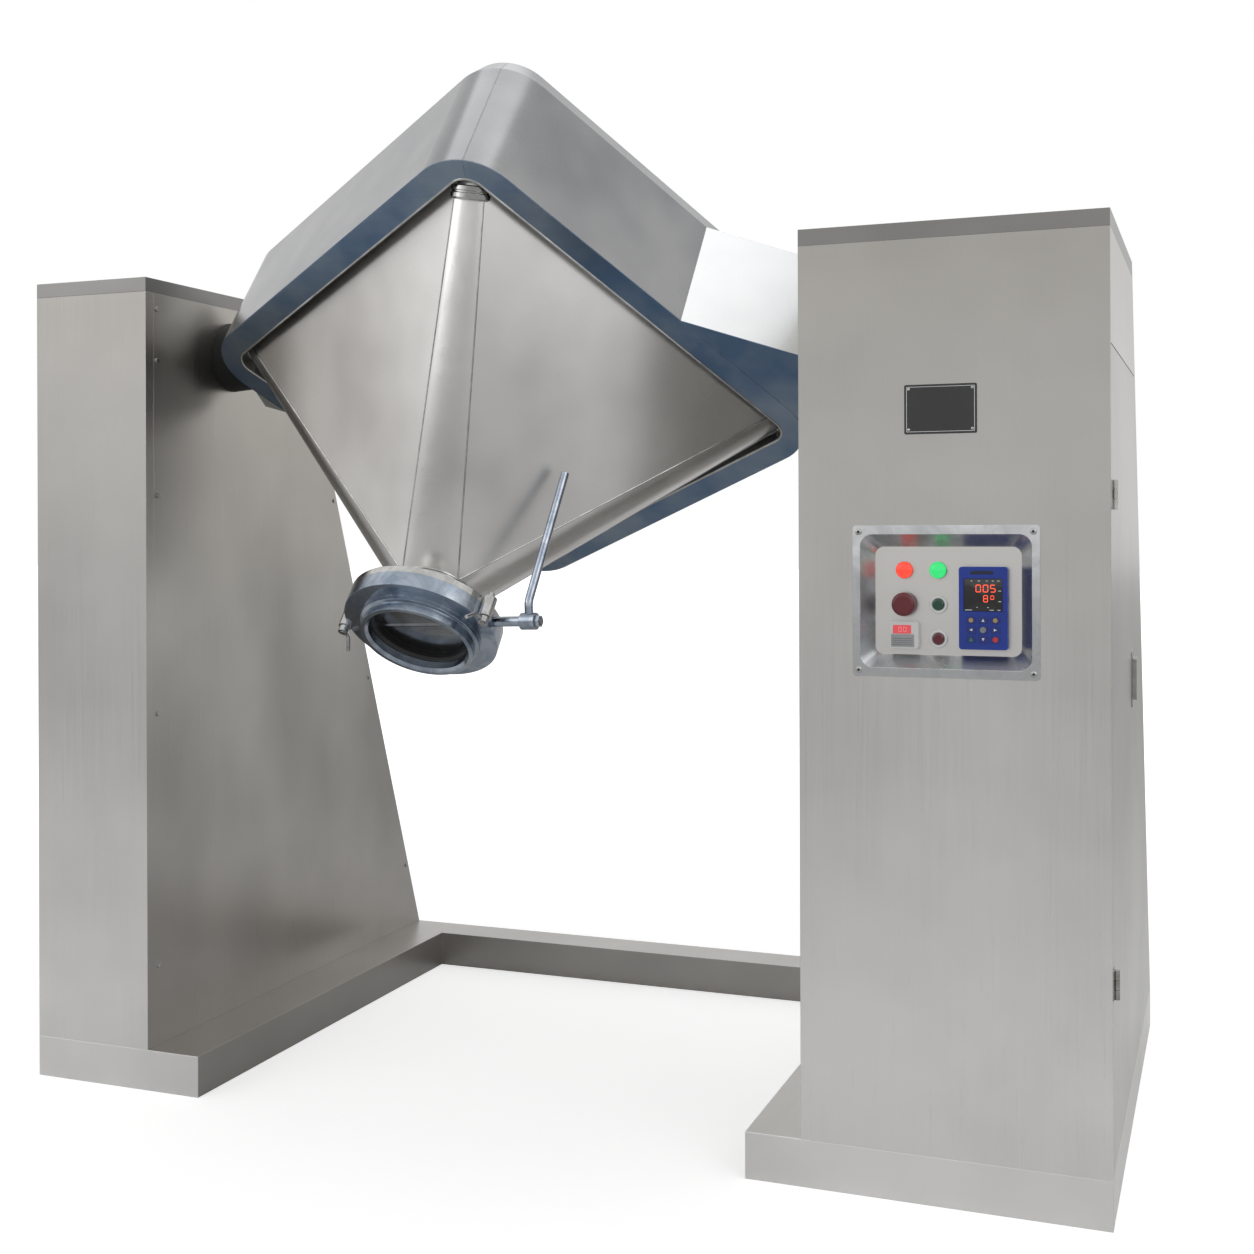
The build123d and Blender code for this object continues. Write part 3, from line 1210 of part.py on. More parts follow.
# Feed port behind: neck with flange, gasket, and a domed lid on a hinge
feed_face = -FEED_Z - FEED_NECK - FEED_FLANGE
lid_z = feed_face - GASKET_T
feed_bore = FEED_R - WALL
feed_neck = turned(PROFILE, VESSEL_AXIS, [
    (feed_bore, -FEED_Z), (FEED_R, -FEED_Z), (FEED_R, -FEED_Z - FEED_NECK),
    (feed_flange_r, -FEED_Z - FEED_NECK), (feed_flange_r, feed_face), (feed_bore, feed_face)])
save("port_seals", valve_seat, turned(PROFILE, VESSEL_AXIS, [
    (FEED_R, feed_face), (FEED_R + 16, feed_face), (FEED_R + 16, lid_z + RUN), (FEED_R, lid_z + RUN)]))

PIN_OUT = feed_flange_r + 27


def port_plane(turn, z):
    """Plane beside the port: x runs outward at this turn, z back along the port's axis."""
    angle = math.radians(turn)
    out = side_dir * math.cos(angle) + second_dir * math.sin(angle)
    return Plane(origin=CENTRE + outlet_dir * z, x_dir=out, z_dir=outlet_dir * -1)


def side_on(turn, z, shift):
    """Plane square to the one above, along the port's rim, shifted sideways."""
    flat = port_plane(turn, z)
    tangent = flat.y_dir
    return Plane(origin=flat.origin + tangent * shift, x_dir=flat.x_dir, z_dir=tangent)


pin_z = lid_z - LID_T / 2
lug_outer = ARM_HALF + RUN + LUG_T
with BuildPart() as lid_hinge:
    for shift in (-lug_outer, ARM_HALF + RUN):
        with BuildSketch(side_on(HINGE_TURN, pin_z, shift)):
            with Locations((PIN_OUT, 0)):
                Circle(2 * PIN_R)
            Polygon((feed_flange_r, feed_face - pin_z), (feed_flange_r, feed_face - pin_z + FEED_FLANGE),
                    (PIN_OUT + 1.5 * PIN_R, PIN_R), (PIN_OUT - PIN_R, -PIN_R), align=None)
        extrude(amount=LUG_T)
    with BuildSketch(side_on(HINGE_TURN, pin_z, -lug_outer)):
        with Locations((PIN_OUT, 0)):
            Circle(PIN_R)
    extrude(amount=2 * lug_outer)

rod_z = feed_face + FEED_FLANGE / 2
bolt_turns = [HINGE_TURN + 360 * number / (SWING_BOLTS + 1) for number in range(1, SWING_BOLTS + 1)]
rim_in = FEED_R - WALL
dome_r = (rim_in ** 2 + LID_DOME ** 2) / (2 * LID_DOME)
half_way = math.sqrt(dome_r ** 2 - (rim_in / 2) ** 2) - dome_r + LID_DOME
with BuildPart() as feed_lid:
    with BuildSketch(PROFILE):
        with BuildLine():
            Polyline((0, lid_z - LID_DOME), (0, lid_z - LID_T - LID_DOME))
            ThreePointArc((0, lid_z - LID_T - LID_DOME), (rim_in / 2, lid_z - LID_T - half_way),
                          (rim_in, lid_z - LID_T))
            Polyline((rim_in, lid_z - LID_T), (feed_flange_r, lid_z - LID_T), (feed_flange_r, lid_z),
                     (rim_in, lid_z))
            ThreePointArc((rim_in, lid_z), (rim_in / 2, lid_z - half_way), (0, lid_z - LID_DOME))
        make_face()
    revolve(axis=VESSEL_AXIS)
    for bolt_turn in bolt_turns:
        with BuildSketch(port_plane(bolt_turn, lid_z)):
            with Locations(((feed_flange_r + PIN_OUT + EAR_PAST) / 2 - 4, 0)):
                Rectangle(PIN_OUT + EAR_PAST - feed_flange_r + 8, 2 * EAR_HALF)
            with Locations((PIN_OUT + EAR_PAST, 0)):
                SlotOverall(4 * EAR_PAST, 2 * SWING_ROD_R + 3, mode=Mode.SUBTRACT)
        extrude(amount=LID_T)
    with BuildSketch(port_plane(HINGE_TURN, lid_z)):
        with Locations(((feed_flange_r + PIN_OUT) / 2 - 4, 0)):
            Rectangle(PIN_OUT - feed_flange_r + 8, 2 * ARM_HALF)
    extrude(amount=LID_T)
    with BuildSketch(side_on(HINGE_TURN, pin_z, -ARM_HALF)):
        with Locations((PIN_OUT, 0)):
            Circle(2 * PIN_R - 1)
    extrude(amount=2 * ARM_HALF)
    with BuildSketch(side_on(HINGE_TURN, pin_z, -ARM_HALF - 1)):
        with Locations((PIN_OUT, 0)):
            Circle(PIN_R + FIT)
    extrude(amount=2 * ARM_HALF + 2, mode=Mode.SUBTRACT)

with BuildPart() as lid_handle:
    crown = Plane(origin=CENTRE, x_dir=outlet_dir, z_dir=port_plane(HINGE_TURN, 0).x_dir)
    crown_z = lid_z - LID_T - LID_DOME + 4
    with BuildLine() as handle_route:
        FilletPolyline(*[crown.from_local_coords(point) for point in (
            Vector(crown_z, -HANDLE_HALF), Vector(crown_z - HANDLE_OUT, -HANDLE_HALF),
            Vector(crown_z - HANDLE_OUT, HANDLE_HALF), Vector(crown_z, HANDLE_HALF))], radius=14)
    with BuildSketch(Plane(origin=handle_route.line @ 0, z_dir=outlet_dir * -1)):
        Circle(6)
    sweep()
    add(feed_lid.part, mode=Mode.SUBTRACT)
save("feed_lid", feed_lid.part, lid_handle.part)

bolt_lugs = []
knob_from = rod_z - (lid_z - LID_T) + KNOB_SLACK
for number, bolt_turn in enumerate(bolt_turns, 1):
    with BuildPart() as lug_pair:
        for shift in (-EYE_HALF - RUN - LUG_T, EYE_HALF + RUN):
            with BuildSketch(side_on(bolt_turn, rod_z, shift)):
                Polygon((feed_flange_r - 6, -FEED_FLANGE / 2), (PIN_OUT, -FEED_FLANGE / 2),
                        (PIN_OUT, FEED_FLANGE / 2), (feed_flange_r - 6, FEED_FLANGE / 2), align=None)
                with Locations((PIN_OUT, 0)):
                    Circle(FEED_FLANGE / 2)
            extrude(amount=LUG_T)
        with BuildSketch(side_on(bolt_turn, rod_z, -EYE_HALF - RUN)):
            with Locations((PIN_OUT, 0)):
                Circle(LID_PIN_R)
        extrude(amount=2 * (EYE_HALF + RUN))
        with BuildSketch(VESSEL.offset(feed_face - 1)):
            Circle(feed_flange_r)
        extrude(amount=FEED_FLANGE + 2, mode=Mode.SUBTRACT)
    bolt_lugs.append(lug_pair.part)

    pin_line = side_on(bolt_turn, rod_z, 0)
    pin_point = pin_line.from_local_coords(Vector(PIN_OUT, 0))
    swing = Axis(pin_point, pin_line.z_dir)
    with BuildPart() as swing_bolt:
        with BuildSketch(side_on(bolt_turn, rod_z, -EYE_HALF)):
            with Locations((PIN_OUT, 0)):
                Circle(2 * LID_PIN_R)
        extrude(amount=2 * EYE_HALF)
        with BuildSketch(Plane(origin=pin_point, z_dir=outlet_dir * -1)):
            Circle(SWING_ROD_R)
        extrude(amount=knob_from + KNOB_LONG + 4)
        with BuildSketch(side_on(bolt_turn, rod_z, -EYE_HALF)):
            with Locations((PIN_OUT, 0)):
                Circle(LID_PIN_R + FIT)
        extrude(amount=2 * EYE_HALF, mode=Mode.SUBTRACT)
    save(f"swing_bolt_{number}", swing_bolt.part.rotate(swing, SWING_OUT))
    with BuildPart() as knob:
        with BuildSketch(Plane(origin=pin_point - outlet_dir * knob_from, z_dir=outlet_dir * -1)):
            Circle(KNOB_R)
            with PolarLocations(KNOB_R, 6):
                Circle(5)
            Circle(SWING_ROD_R + FIT, mode=Mode.SUBTRACT)
        extrude(amount=KNOB_LONG)
    save(f"swing_knob_{number}", knob.part.rotate(swing, SWING_OUT))
save("feed_neck", feed_neck, lid_hinge.part, *bolt_lugs)

# Move everything over the middle of its own footprint and write the nodes
boxes = [solid.bounding_box() for solids in nodes.values() for solid in solids]
middle_x = (min(box.min.X for box in boxes) + max(box.max.X for box in boxes)) / 2
middle_y = (min(box.min.Y for box in boxes) + max(box.max.Y for box in boxes)) / 2
shift = Location((-middle_x, -middle_y, 0))
print(f"moved by {-middle_x:.4f} {-middle_y:.4f}")
for name, solids in nodes.items():
    placed = [solid.moved(shift) for solid in solids]
    piece = placed[0] if len(placed) == 1 else Compound(children=placed)
    piece.label = name
    export_step(piece, f"parts/{name}.step")
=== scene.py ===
import json
import math
import bpy
import numpy as np
from mathutils import Matrix, Vector


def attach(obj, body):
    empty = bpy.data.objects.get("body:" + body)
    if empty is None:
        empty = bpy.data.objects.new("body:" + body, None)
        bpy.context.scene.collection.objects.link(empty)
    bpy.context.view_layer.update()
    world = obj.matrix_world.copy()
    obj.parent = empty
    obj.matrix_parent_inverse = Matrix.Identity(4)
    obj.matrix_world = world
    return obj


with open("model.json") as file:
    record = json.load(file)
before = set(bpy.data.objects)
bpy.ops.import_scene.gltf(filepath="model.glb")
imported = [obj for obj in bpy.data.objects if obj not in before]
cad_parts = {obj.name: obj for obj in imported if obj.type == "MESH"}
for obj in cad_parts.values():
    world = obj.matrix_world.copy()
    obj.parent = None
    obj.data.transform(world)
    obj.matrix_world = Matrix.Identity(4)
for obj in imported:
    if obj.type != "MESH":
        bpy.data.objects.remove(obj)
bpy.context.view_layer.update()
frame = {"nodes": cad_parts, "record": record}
MM = 0.001
RIGHT, BACK, UP = Vector((1, 0, 0)), Vector((0, 1, 0)), Vector((0, 0, 1))

# The drawing's own millimetres: where the base and the left column's inner face lie
DRAWN_FROM = Vector((-126.7, -148.9785, 0)) * MM
BASE_FRONT, BASE_REAR = -300, 850
BASE_LEFT, BASE_RIGHT = -954, 1197
INNER_FACE = 680

# The vessel leans its outlet 52 degrees down towards the front, and its square is turned
# 13.7 degrees about that axis
LEAN = math.radians(52)
SKEW = math.radians(-13.7)
outlet_dir = Vector((0, -math.cos(LEAN), -math.sin(LEAN)))
across_dir = Vector((0, -math.sin(LEAN), math.cos(LEAN)))
corner_dir = RIGHT * math.cos(SKEW) + across_dir * math.sin(SKEW)
top_dir = RIGHT * -math.sin(SKEW) + across_dir * math.cos(SKEW)
side_dir = (corner_dir + top_dir).normalized()
second_dir = outlet_dir.cross(side_dir)


def linear(hex_colour):
    """One colour from sRGB hex to linear light, by the sRGB curve."""
    parts = [int(hex_colour[i:i + 2], 16) / 255 for i in (0, 2, 4)]
    return [c / 12.92 if c <= 0.04045 else ((c + 0.055) / 1.055) ** 2.4 for c in parts] + [1.0]


def drawn(x, y, z):
    """A point in the drawing's millimetres, placed in the row's frame in metres."""
    return Vector((x, y, z)) * MM + DRAWN_FROM


vessel_centre = drawn(20, 0, 1515)
PANEL = drawn(930, BASE_FRONT, 1012)
TRAY_DEPTH = 29


def in_vessel(x, y, z):
    """A point given across the vessel's square (x, y) and towards the outlet (z), in mm."""
    return vessel_centre + (side_dir * x + second_dir * y + outlet_dir * z) * MM


def on_panel(x, z, out=0):
    """A point on the tray's floor, x across and z up from the panel's centre, in mm."""
    return PANEL + Vector((x, TRAY_DEPTH - out, z)) * MM


# Materials
def add(tree, kind, inputs=(), **settings):
    """Adds one node with its settings; inputs are values, or sockets to link, by name or
    by place."""
    node = tree.nodes.new(kind)
    for name, value in settings.items():
        setattr(node, name, value)
    for name, value in dict(inputs).items():
        if isinstance(value, bpy.types.NodeSocket):
            tree.links.new(value, node.inputs[name])
        else:
            node.inputs[name].default_value = value
    return node


def blank(name):
    """An empty node material: its tree and its output node."""
    material = bpy.data.materials.new(name)
    material.use_nodes = True
    tree = material.node_tree
    tree.nodes.clear()
    return material, tree, add(tree, "ShaderNodeOutputMaterial")


def stretched(tree, stretch, scale, detail=3.0, rough=0.55, distort=0.0):
    """Noise on object coordinates, stretched per axis; scale is in patches a metre."""
    place = add(tree, "ShaderNodeTexCoord").outputs["Object"]
    long_place = add(tree, "ShaderNodeMapping", {"Vector": place, "Scale": stretch})
    return add(tree, "ShaderNodeTexNoise", {"Vector": long_place.outputs["Vector"],
               "Scale": scale, "Detail": detail, "Roughness": rough, "Distortion": distort}
               ).outputs["Fac"]


def going(tree, value, low, high, first, second, share=(0.0, 1.0)):
    """A colour that goes from the first to the second as a value goes from low to high;
    share says how much of the second it has at either end."""
    fac = add(tree, "ShaderNodeMapRange", {"Value": value, "From Min": low, "From Max": high,
              "To Min": share[0], "To Max": share[1]}).outputs["Result"]
    return add(tree, "ShaderNodeMix", {0: fac, 6: first, 7: second}, data_type="RGBA").outputs[2]


def along(tree, origin, direction):
    """Distance in metres from a point along a direction, in object coordinates."""
    place = add(tree, "ShaderNodeTexCoord").outputs["Object"]
    moved = add(tree, "ShaderNodeVectorMath", {0: place, 1: origin}, operation="SUBTRACT")
    return add(tree, "ShaderNodeVectorMath", {0: moved.outputs["Vector"], 1: direction},
               operation="DOT_PRODUCT").outputs["Value"]


def skin(tree, out, colour, gloss, bump, edge_mm, **rest):
    """The surface itself: one shader whose edges look softened by edge_mm and whose height
    comes from bump, given as a socket, a strength and a distance in metres."""
    height, strength, distance = bump
    soft = add(tree, "ShaderNodeBevel", {"Radius": edge_mm * MM}, samples=4).outputs["Normal"]
    marks = add(tree, "ShaderNodeBump", {"Height": height, "Strength": strength,
                "Distance": distance, "Normal": soft}).outputs["Normal"]
    shader = add(tree, "ShaderNodeBsdfPrincipled", {"Base Color": colour, "Roughness": gloss,
                 "Normal": marks, **rest})
    tree.links.new(shader.outputs["BSDF"], out.inputs["Surface"])


def ground_steel(name, light, dark, grain, rough=0.3, edge_mm=1.5, cloud=0.5, tint=None,
                 bump=0.04, scratched=1.0):
    """Stainless sheet ground with a belt: fine scratches along the grain spread highlights,
    and large soft clouds show where the sheet was handled. Scratches are drawn 3 mm wide and
    260 mm long, because real ones are too fine to show here."""
    material, tree, out = blank(name)
    across, lengthways = 1 / (3 * MM), 1 / (260 * MM)
    stretch = [lengthways if axis == grain else across for axis in "XYZ"]
    streaks = stretched(tree, stretch, 1.0, 4.0, 0.65)
    clouds = stretched(tree, (1, 1, 1), 2.1, 3.0, 0.6)
    smears = stretched(tree, (1, 1, 1), 7.0, 4.0, 0.7, distort=1.2)
    tone = going(tree, clouds, 0.35, 0.65, linear(dark), linear(light),
                 (0.5 - cloud / 2, 0.5 + cloud / 2))
    fine = going(tree, streaks, 0.3, 0.7, tone, linear(light), (0.0, 0.16 * scratched))
    worn = going(tree, smears, 0.55, 0.8, fine, linear(dark), (0.0, 0.10))
    gloss = add(tree, "ShaderNodeMapRange", {"Value": streaks, "From Min": 0.3, "From Max": 0.7,
                "To Min": rough - 0.03 * scratched, "To Max": rough + 0.04 * scratched})
    skin(tree, out, tint(tree, worn) if tint else worn, gloss.outputs["Result"],
         (streaks, bump, 0.0004), edge_mm, Metallic=1.0)
    return material


def bright_steel(name, light, dark, rough=0.12, tint=None, turning=None):
    """Polished or turned steel: a mirror with a faint haze and, if turned, fine rings."""
    material, tree, out = blank(name)
    haze = stretched(tree, (1, 1, 1), 14.0, 4.0, 0.7, distort=0.6)
    colour = going(tree, haze, 0.35, 0.7, linear(light), linear(dark))
    height = haze
    if turning:
        origin, direction, pitch = turning
        turns = add(tree, "ShaderNodeMath", {0: along(tree, origin, direction),
                    1: math.tau / (pitch * MM)}, operation="MULTIPLY").outputs[0]
        height = add(tree, "ShaderNodeMath", {0: turns}, operation="SINE").outputs[0]
    gloss = add(tree, "ShaderNodeMapRange", {"Value": haze, "From Min": 0.3, "From Max": 0.7,
                "To Min": rough - 0.04, "To Max": rough + 0.06})
    skin(tree, out, tint(tree, colour) if tint else colour, gloss.outputs["Result"],
         (height, 0.12, 0.0002), 0.8, Metallic=1.0)
    return material


def coated(name, colour, shade, rough=0.4, grit_mm=2.0, bump=0.2, metallic=0.0, glow=0.0,
           coat=0.0, tint=None):
    """Paint, plastic or rubber: an even colour with a slight shade, and a moulded or sprayed
    texture whose grain is given in millimetres."""
    material, tree, out = blank(name)
    grit = stretched(tree, (1, 1, 1), 1 / (grit_mm * MM), 3.0, 0.5)
    patch = stretched(tree, (1, 1, 1), 12.0, 3.0, 0.6)
    tone = going(tree, patch, 0.3, 0.7, linear(colour), linear(shade))
    gloss = add(tree, "ShaderNodeMapRange", {"Value": patch, "From Min": 0.3, "From Max": 0.7,
                "To Min": rough - 0.05, "To Max": rough + 0.05})
    lit = {"Emission Color": linear(colour), "Emission Strength": glow} if glow else {}
    skin(tree, out, tint(tree, tone) if tint else tone, gloss.outputs["Result"],
         (grit, bump, 0.0002), 0.6,
         **{"Metallic": metallic, "IOR": 1.5, "Coat Weight": coat, **lit})
    return material


def painted_blue_reflection(tree, colour):
    """The vessel's steel, with a blue reflection painted on it from the band's front face on."""
    blue = going(tree, stretched(tree, (1, 1, 1), 5.0, 3.0, 0.6), 0.35, 0.65,
                 linear("5b7390"), linear("8694a3"))
    return going(tree, along(tree, vessel_centre, outlet_dir), (BAND_FACE - 1.4) * MM,
                 (BAND_FACE - 0.4) * MM, colour, blue)


def lower_lamp_red(tree, colour):
    """One lens is green and the one below it is red."""
    return going(tree, along(tree, PANEL, -UP), 34 * MM, 36 * MM, colour, linear("5e1420"))


def tray_walls(tree, colour):
    """The tray's flat floor is satin; its pressed walls stay mirror bright."""
    return going(tree, along(tree, PANEL, BACK), (TRAY_DEPTH - 2) * MM,
                 (TRAY_DEPTH - 0.5) * MM, colour, linear("cfcdca"))


def shaded(tree, colour, shade):
    """A colour under a shade, each light channel times the other."""
    return add(tree, "ShaderNodeMix", {0: 1.0, 6: colour, 7: shade}, data_type="RGBA",
               blend_type="MULTIPLY").outputs[2]


def painted_column_shade(tree, colour):
    """The columns' sheets, with painted shade and painted reflection: darker towards the top, most
    of all on the left column, and darker again on that column's inner side, which faces the vessel
    instead of the room, with soft painted patches at mid height."""
    height = along(tree, Vector((0, 0, 0)), UP)
    sideways = along(tree, drawn(0, 0, 0), RIGHT)
    painted_top_shade = going(tree, sideways, -0.1, 0.1, linear("a8a6a3"), linear("b8b6b2"))
    outer = shaded(tree, colour, going(tree, height, 0.2, 1.6, linear("ffffff"), painted_top_shade))
    patch = stretched(tree, (1, 1, 0.5), 2.6, 2.0, 0.5)
    middle = going(tree, patch, 0.35, 0.65, linear("b2b0ac"), linear("d0ceca"))
    upper = going(tree, height, 0.95, 1.3, middle, linear("bdbab5"))
    inner = shaded(tree, colour, going(tree, height, 0.1, 0.45, linear("c0bdb9"), upper))
    from_face = along(tree, drawn(-INNER_FACE, 0, 0), RIGHT)
    before_gap = going(tree, from_face, 1 * MM, 2 * MM, inner, outer)
    return going(tree, from_face, -1.5 * MM, -0.5 * MM, outer, before_gap)


def painted_base_shade(tree, colour):
    """The base: its outer faces are painted lighter than its tops and the sides that face inwards,
    which carry painted shade.
    """
    lit = shaded(tree, colour, linear("b8b6b3"))
    for start, inwards in ((drawn(0, BASE_FRONT, 0), BACK), (drawn(0, BASE_REAR, 0), -BACK),
                           (drawn(BASE_LEFT, 0, 0), RIGHT), (drawn(BASE_RIGHT, 0, 0), -RIGHT)):
        lit = going(tree, along(tree, start, inwards), 0.8 * MM, 1.8 * MM, colour, lit)
    return lit


def painted_cone_shade(tree, colour):
    """The cone's sides: painted shade, darker towards the plain column than towards the drive
    column.
    """
    sideways = along(tree, vessel_centre, RIGHT)
    return shaded(tree, colour, going(tree, sideways, -0.3, 0.25, linear("cfcdca"),
                                      linear("ffffff")))


# The vessel's own sizes in mm: its square's half width and corner, the band's front face, the
# cone's foot, and the height and radius of each neck
HALF_IN = 405
CORNER_IN = 36
BAND_FACE = 145
FOOT = 115
NECK = (625, 75)
FEED = (285, 165)

finishes = {
    # The base's tint paints shade on its tops and on the sides that face inwards.
    "base_steel": ground_steel("belt_ground_plinth_sheet", "f4f3f2", "d6d5d4", "Y", 0.34,
                               tint=painted_base_shade),
    "frame_tube": coated("primed_square_tube", "787c80", "63676b", 0.6, 1.5),
    # The columns' and doors' tint paints shade and reflection by height and side.
    "column_steel": ground_steel("belt_ground_column_sheet", "f0efed", "d2d1cf", "Z", 0.3,
                                 tint=painted_column_shade),
    # The caps are the columns' ground sheet, painted darker: painted shade on the caps.
    "cap_steel": ground_steel("belt_ground_cap_sheet_painted_shade", "8d8c8a", "747372", "X", 0.34),
    "door_steel": ground_steel("belt_ground_door_sheet", "e2e1df", "c6c5c3", "Z", 0.32,
                               tint=painted_column_shade),
    "fitting_steel": bright_steel("cast_stainless_hinge", "b4b3b0", "85847f", 0.2),
    "handle_steel": bright_steel("polished_lock_lever", "bdbdbb", "8a8a88", 0.14),
    "panel_steel": bright_steel("polished_panel_plate", "d0d2d3", "b0b2b4", 0.16),
    "tray_steel": bright_steel("pressed_bright_tray", "c4c6c8", "9ea1a4", 0.3, tray_walls),
    "bezel_steel": bright_steel("plated_bezel_ring", "d6d6d6", "b0b0b0", 0.08),
    "button_red": coated("lit_red_lens", "ff4a33", "f03522", 0.18, 3, 0.05, glow=0.6,
                         coat=0.4),
    "button_green": coated("lit_green_lens", "2fe07a", "18c765", 0.18, 3, 0.05, glow=0.5,
                           coat=0.4),
    "plunger_black": coated("moulded_black_plunger", "1a1a1b", "131314", 0.5),
    "button_stop": coated("moulded_red_mushroom", "6e1a24", "5c141d", 0.32, 1.2, 0.15, coat=0.2),
    "lamp_lens": coated("ribbed_dark_lens", "174a34", "0e3826", 0.15, 2.0, 0.1, coat=0.5,
                        tint=lower_lamp_red),
    "timer_case": coated("moulded_white_case", "dcdcdb", "cfcfce", 0.35, 1.2),
    "keypad_case": coated("moulded_blue_keypad", "16389a", "123089", 0.4, 1.0),
    "keypad_keys": coated("printed_keypad_film", "122b80", "0e2470", 0.3, 1.0, coat=0.3),
    "nameplate_black": coated("etched_black_plate", "141417", "0c0c0e", 0.25, 0.8, 0.1, coat=0.3),
    "block_plastic": coated("moulded_contact_block", "26272a", "1b1c1e", 0.5),
    "inverter_case": coated("moulded_inverter_case", "33373c", "292c30", 0.55, 1.2, 0.4),
    "screw_steel": bright_steel("turned_screw_head", "c2c2c0", "8b8b88", 0.2),
    "bearing_iron": coated("painted_bearing_casting", "2f5346", "26463b", 0.45, 3.0, 0.6),
    "seal_rubber": coated("moulded_shaft_seal", "060607", "030304", 0.6, 2.0),
    "reducer_paint": coated("sprayed_reducer_casting", "2f5175", "274563", 0.4, 4.0, 0.6),
    "motor_paint": coated("sprayed_motor_casting", "2f5175", "274563", 0.4, 4.0, 0.6),
    "shaft_steel": bright_steel("ground_shaft", "bcbcbc", "8c8c8c", 0.22),
    # The bracket's and band's tint paints a blue reflection on their front faces.
    "bracket_steel": ground_steel("ground_trunnion_bracket", "d0d1d1", "b2b4b6", "X", 0.3,
                                  tint=painted_blue_reflection, bump=0.01),
    "band_steel": ground_steel("ground_band_sheet", "9b9b9b", "6c6f73", "X", 0.24, edge_mm=4,
                               cloud=0.8, tint=painted_blue_reflection),
    # The cone's tint paints shade towards the plain column.
    "cone_steel": ground_steel("ground_cone_sheet", "efeeec", "c8c6c4", "X", 0.28, edge_mm=2,
                               cloud=0.9, tint=painted_cone_shade, bump=0.004, scratched=0.25),
    "neck_steel": bright_steel("turned_neck", "cfcfcd", "92928f", 0.14),
    # The spigot's blue tint is a painted blue reflection.
    "spigot_steel": bright_steel("turned_spigot", "b2bac4", "6f7d8e", 0.16,
                                 turning=(vessel_centre, outlet_dir, 1.6)),
    "seal_black": coated("moulded_black_seal", "0d0d0e", "080809", 0.35),
    "bolt_steel": bright_steel("turned_bolt", "cfcfce", "90908f", 0.16),
    "nut_steel": bright_steel("polished_nut", "d2d2d1", "949493", 0.13),
    "wheel_bronze": bright_steel("machined_bronze_wheel", "b08a45", "8a6a30", 0.25),
    "coupling_iron": coated("machined_iron_coupling", "5a5a5c", "49494b", 0.35, 1.5, 0.3, 0.8),
    "fan_plastic": coated("moulded_fan", "1c1d1f", "131416", 0.5),
    "disc_steel": bright_steel("turned_disc", "8f9194", "55585c", 0.16),
    # The lever's blue tint is a painted blue reflection.
    "lever_steel": bright_steel("polished_lever_rod", "b9bfc8", "6f7c8d", 0.16),
    "lid_steel": ground_steel("ground_lid_sheet", "cfcdca", "aaa8a5", "X", 0.28),
    "knob_plastic": coated("moulded_knob", "18181a", "0f0f11", 0.4),
}
slot_of = {part["node"]: part["material_slot"] for part in frame["record"]["subparts"]}
for name, node in frame["nodes"].items():
    node.data.materials.clear()
    node.data.materials.append(finishes[slot_of[name]])


# Mesh pieces, worked out on grids
def piece(name, grids, body, slot_name, material=None, loop=False):
    """One mesh from grids of points, rows by columns, whose columns close round; the rows
    close too if it is a loop. Faces look outward when a row turns left seen from the next."""
    corners, quads, first = [], [], 0
    for points in grids:
        rows, columns = points.shape[:2]
        index = np.arange(rows * columns).reshape(rows, columns) + first
        index = np.concatenate([index, index[:, :1]], axis=1)
        if loop:
            index = np.concatenate([index, index[:1]])
        quads.append(np.stack([index[:-1, :-1], index[:-1, 1:], index[1:, 1:], index[1:, :-1]],
                              axis=-1).reshape(-1, 4))
        corners.append(points.reshape(-1, 3))
        first += rows * columns
    mesh = bpy.data.meshes.new(name)
    mesh.from_pydata(np.concatenate(corners).tolist(), [], np.concatenate(quads).tolist())
    mesh.materials.append(material or finishes[slot_name])
    mesh.polygons.foreach_set("use_smooth", [True] * len(mesh.polygons))
    mesh.set_sharp_from_angle(angle=math.radians(35))
    made = bpy.data.objects.new(name, mesh)
    bpy.context.scene.collection.objects.link(made)
    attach(made, body)


def lathe(profile, origin, axis, steps=64):
    """Each profile pair (radius, height) in mm swept round the axis."""
    axis = Vector(axis).normalized()
    beside = Vector((0, 0, 1)) if abs(axis.z) < 0.9 else Vector((1, 0, 0))
    first = np.array((beside - axis * beside.dot(axis)).normalized())
    second = np.cross(np.array(axis), first)
    radius, height = np.array(profile, float).T[:, :, None] * MM
    angle = np.linspace(0, math.tau, steps, endpoint=False)[None, :]
    return (np.array(origin) + np.array(axis) * height[..., None]
            + (radius * np.cos(angle))[..., None] * first
            + (radius * np.sin(angle))[..., None] * second)


def bar(path, radius, steps=12, closed=False):
    """A circle of one radius (mm) carried square to a path of points in metres; an open
    path's ends are drawn in to a point."""
    path = np.array([tuple(p) for p in path], float)
    ahead = (np.roll(path, -1, 0) - np.roll(path, 1, 0)) if closed else np.gradient(path, axis=0)
    ahead /= np.linalg.norm(ahead, axis=1)[:, None]
    across = np.cross(ahead, np.array([0.31, 0.22, 0.93]))
    across /= np.linalg.norm(across, axis=1)[:, None]
    up = np.cross(ahead, across)
    angle = np.linspace(0, math.tau, steps, endpoint=False)[None, :, None]
    out = across[:, None] * np.cos(angle) + up[:, None] * np.sin(angle)
    ring = path[:, None] + out * radius * MM
    if closed:
        return ring
    ends = [np.repeat(path[k][None, None], steps, axis=1) for k in (0, -1)]
    return np.concatenate([ends[0], ring, ends[1]])


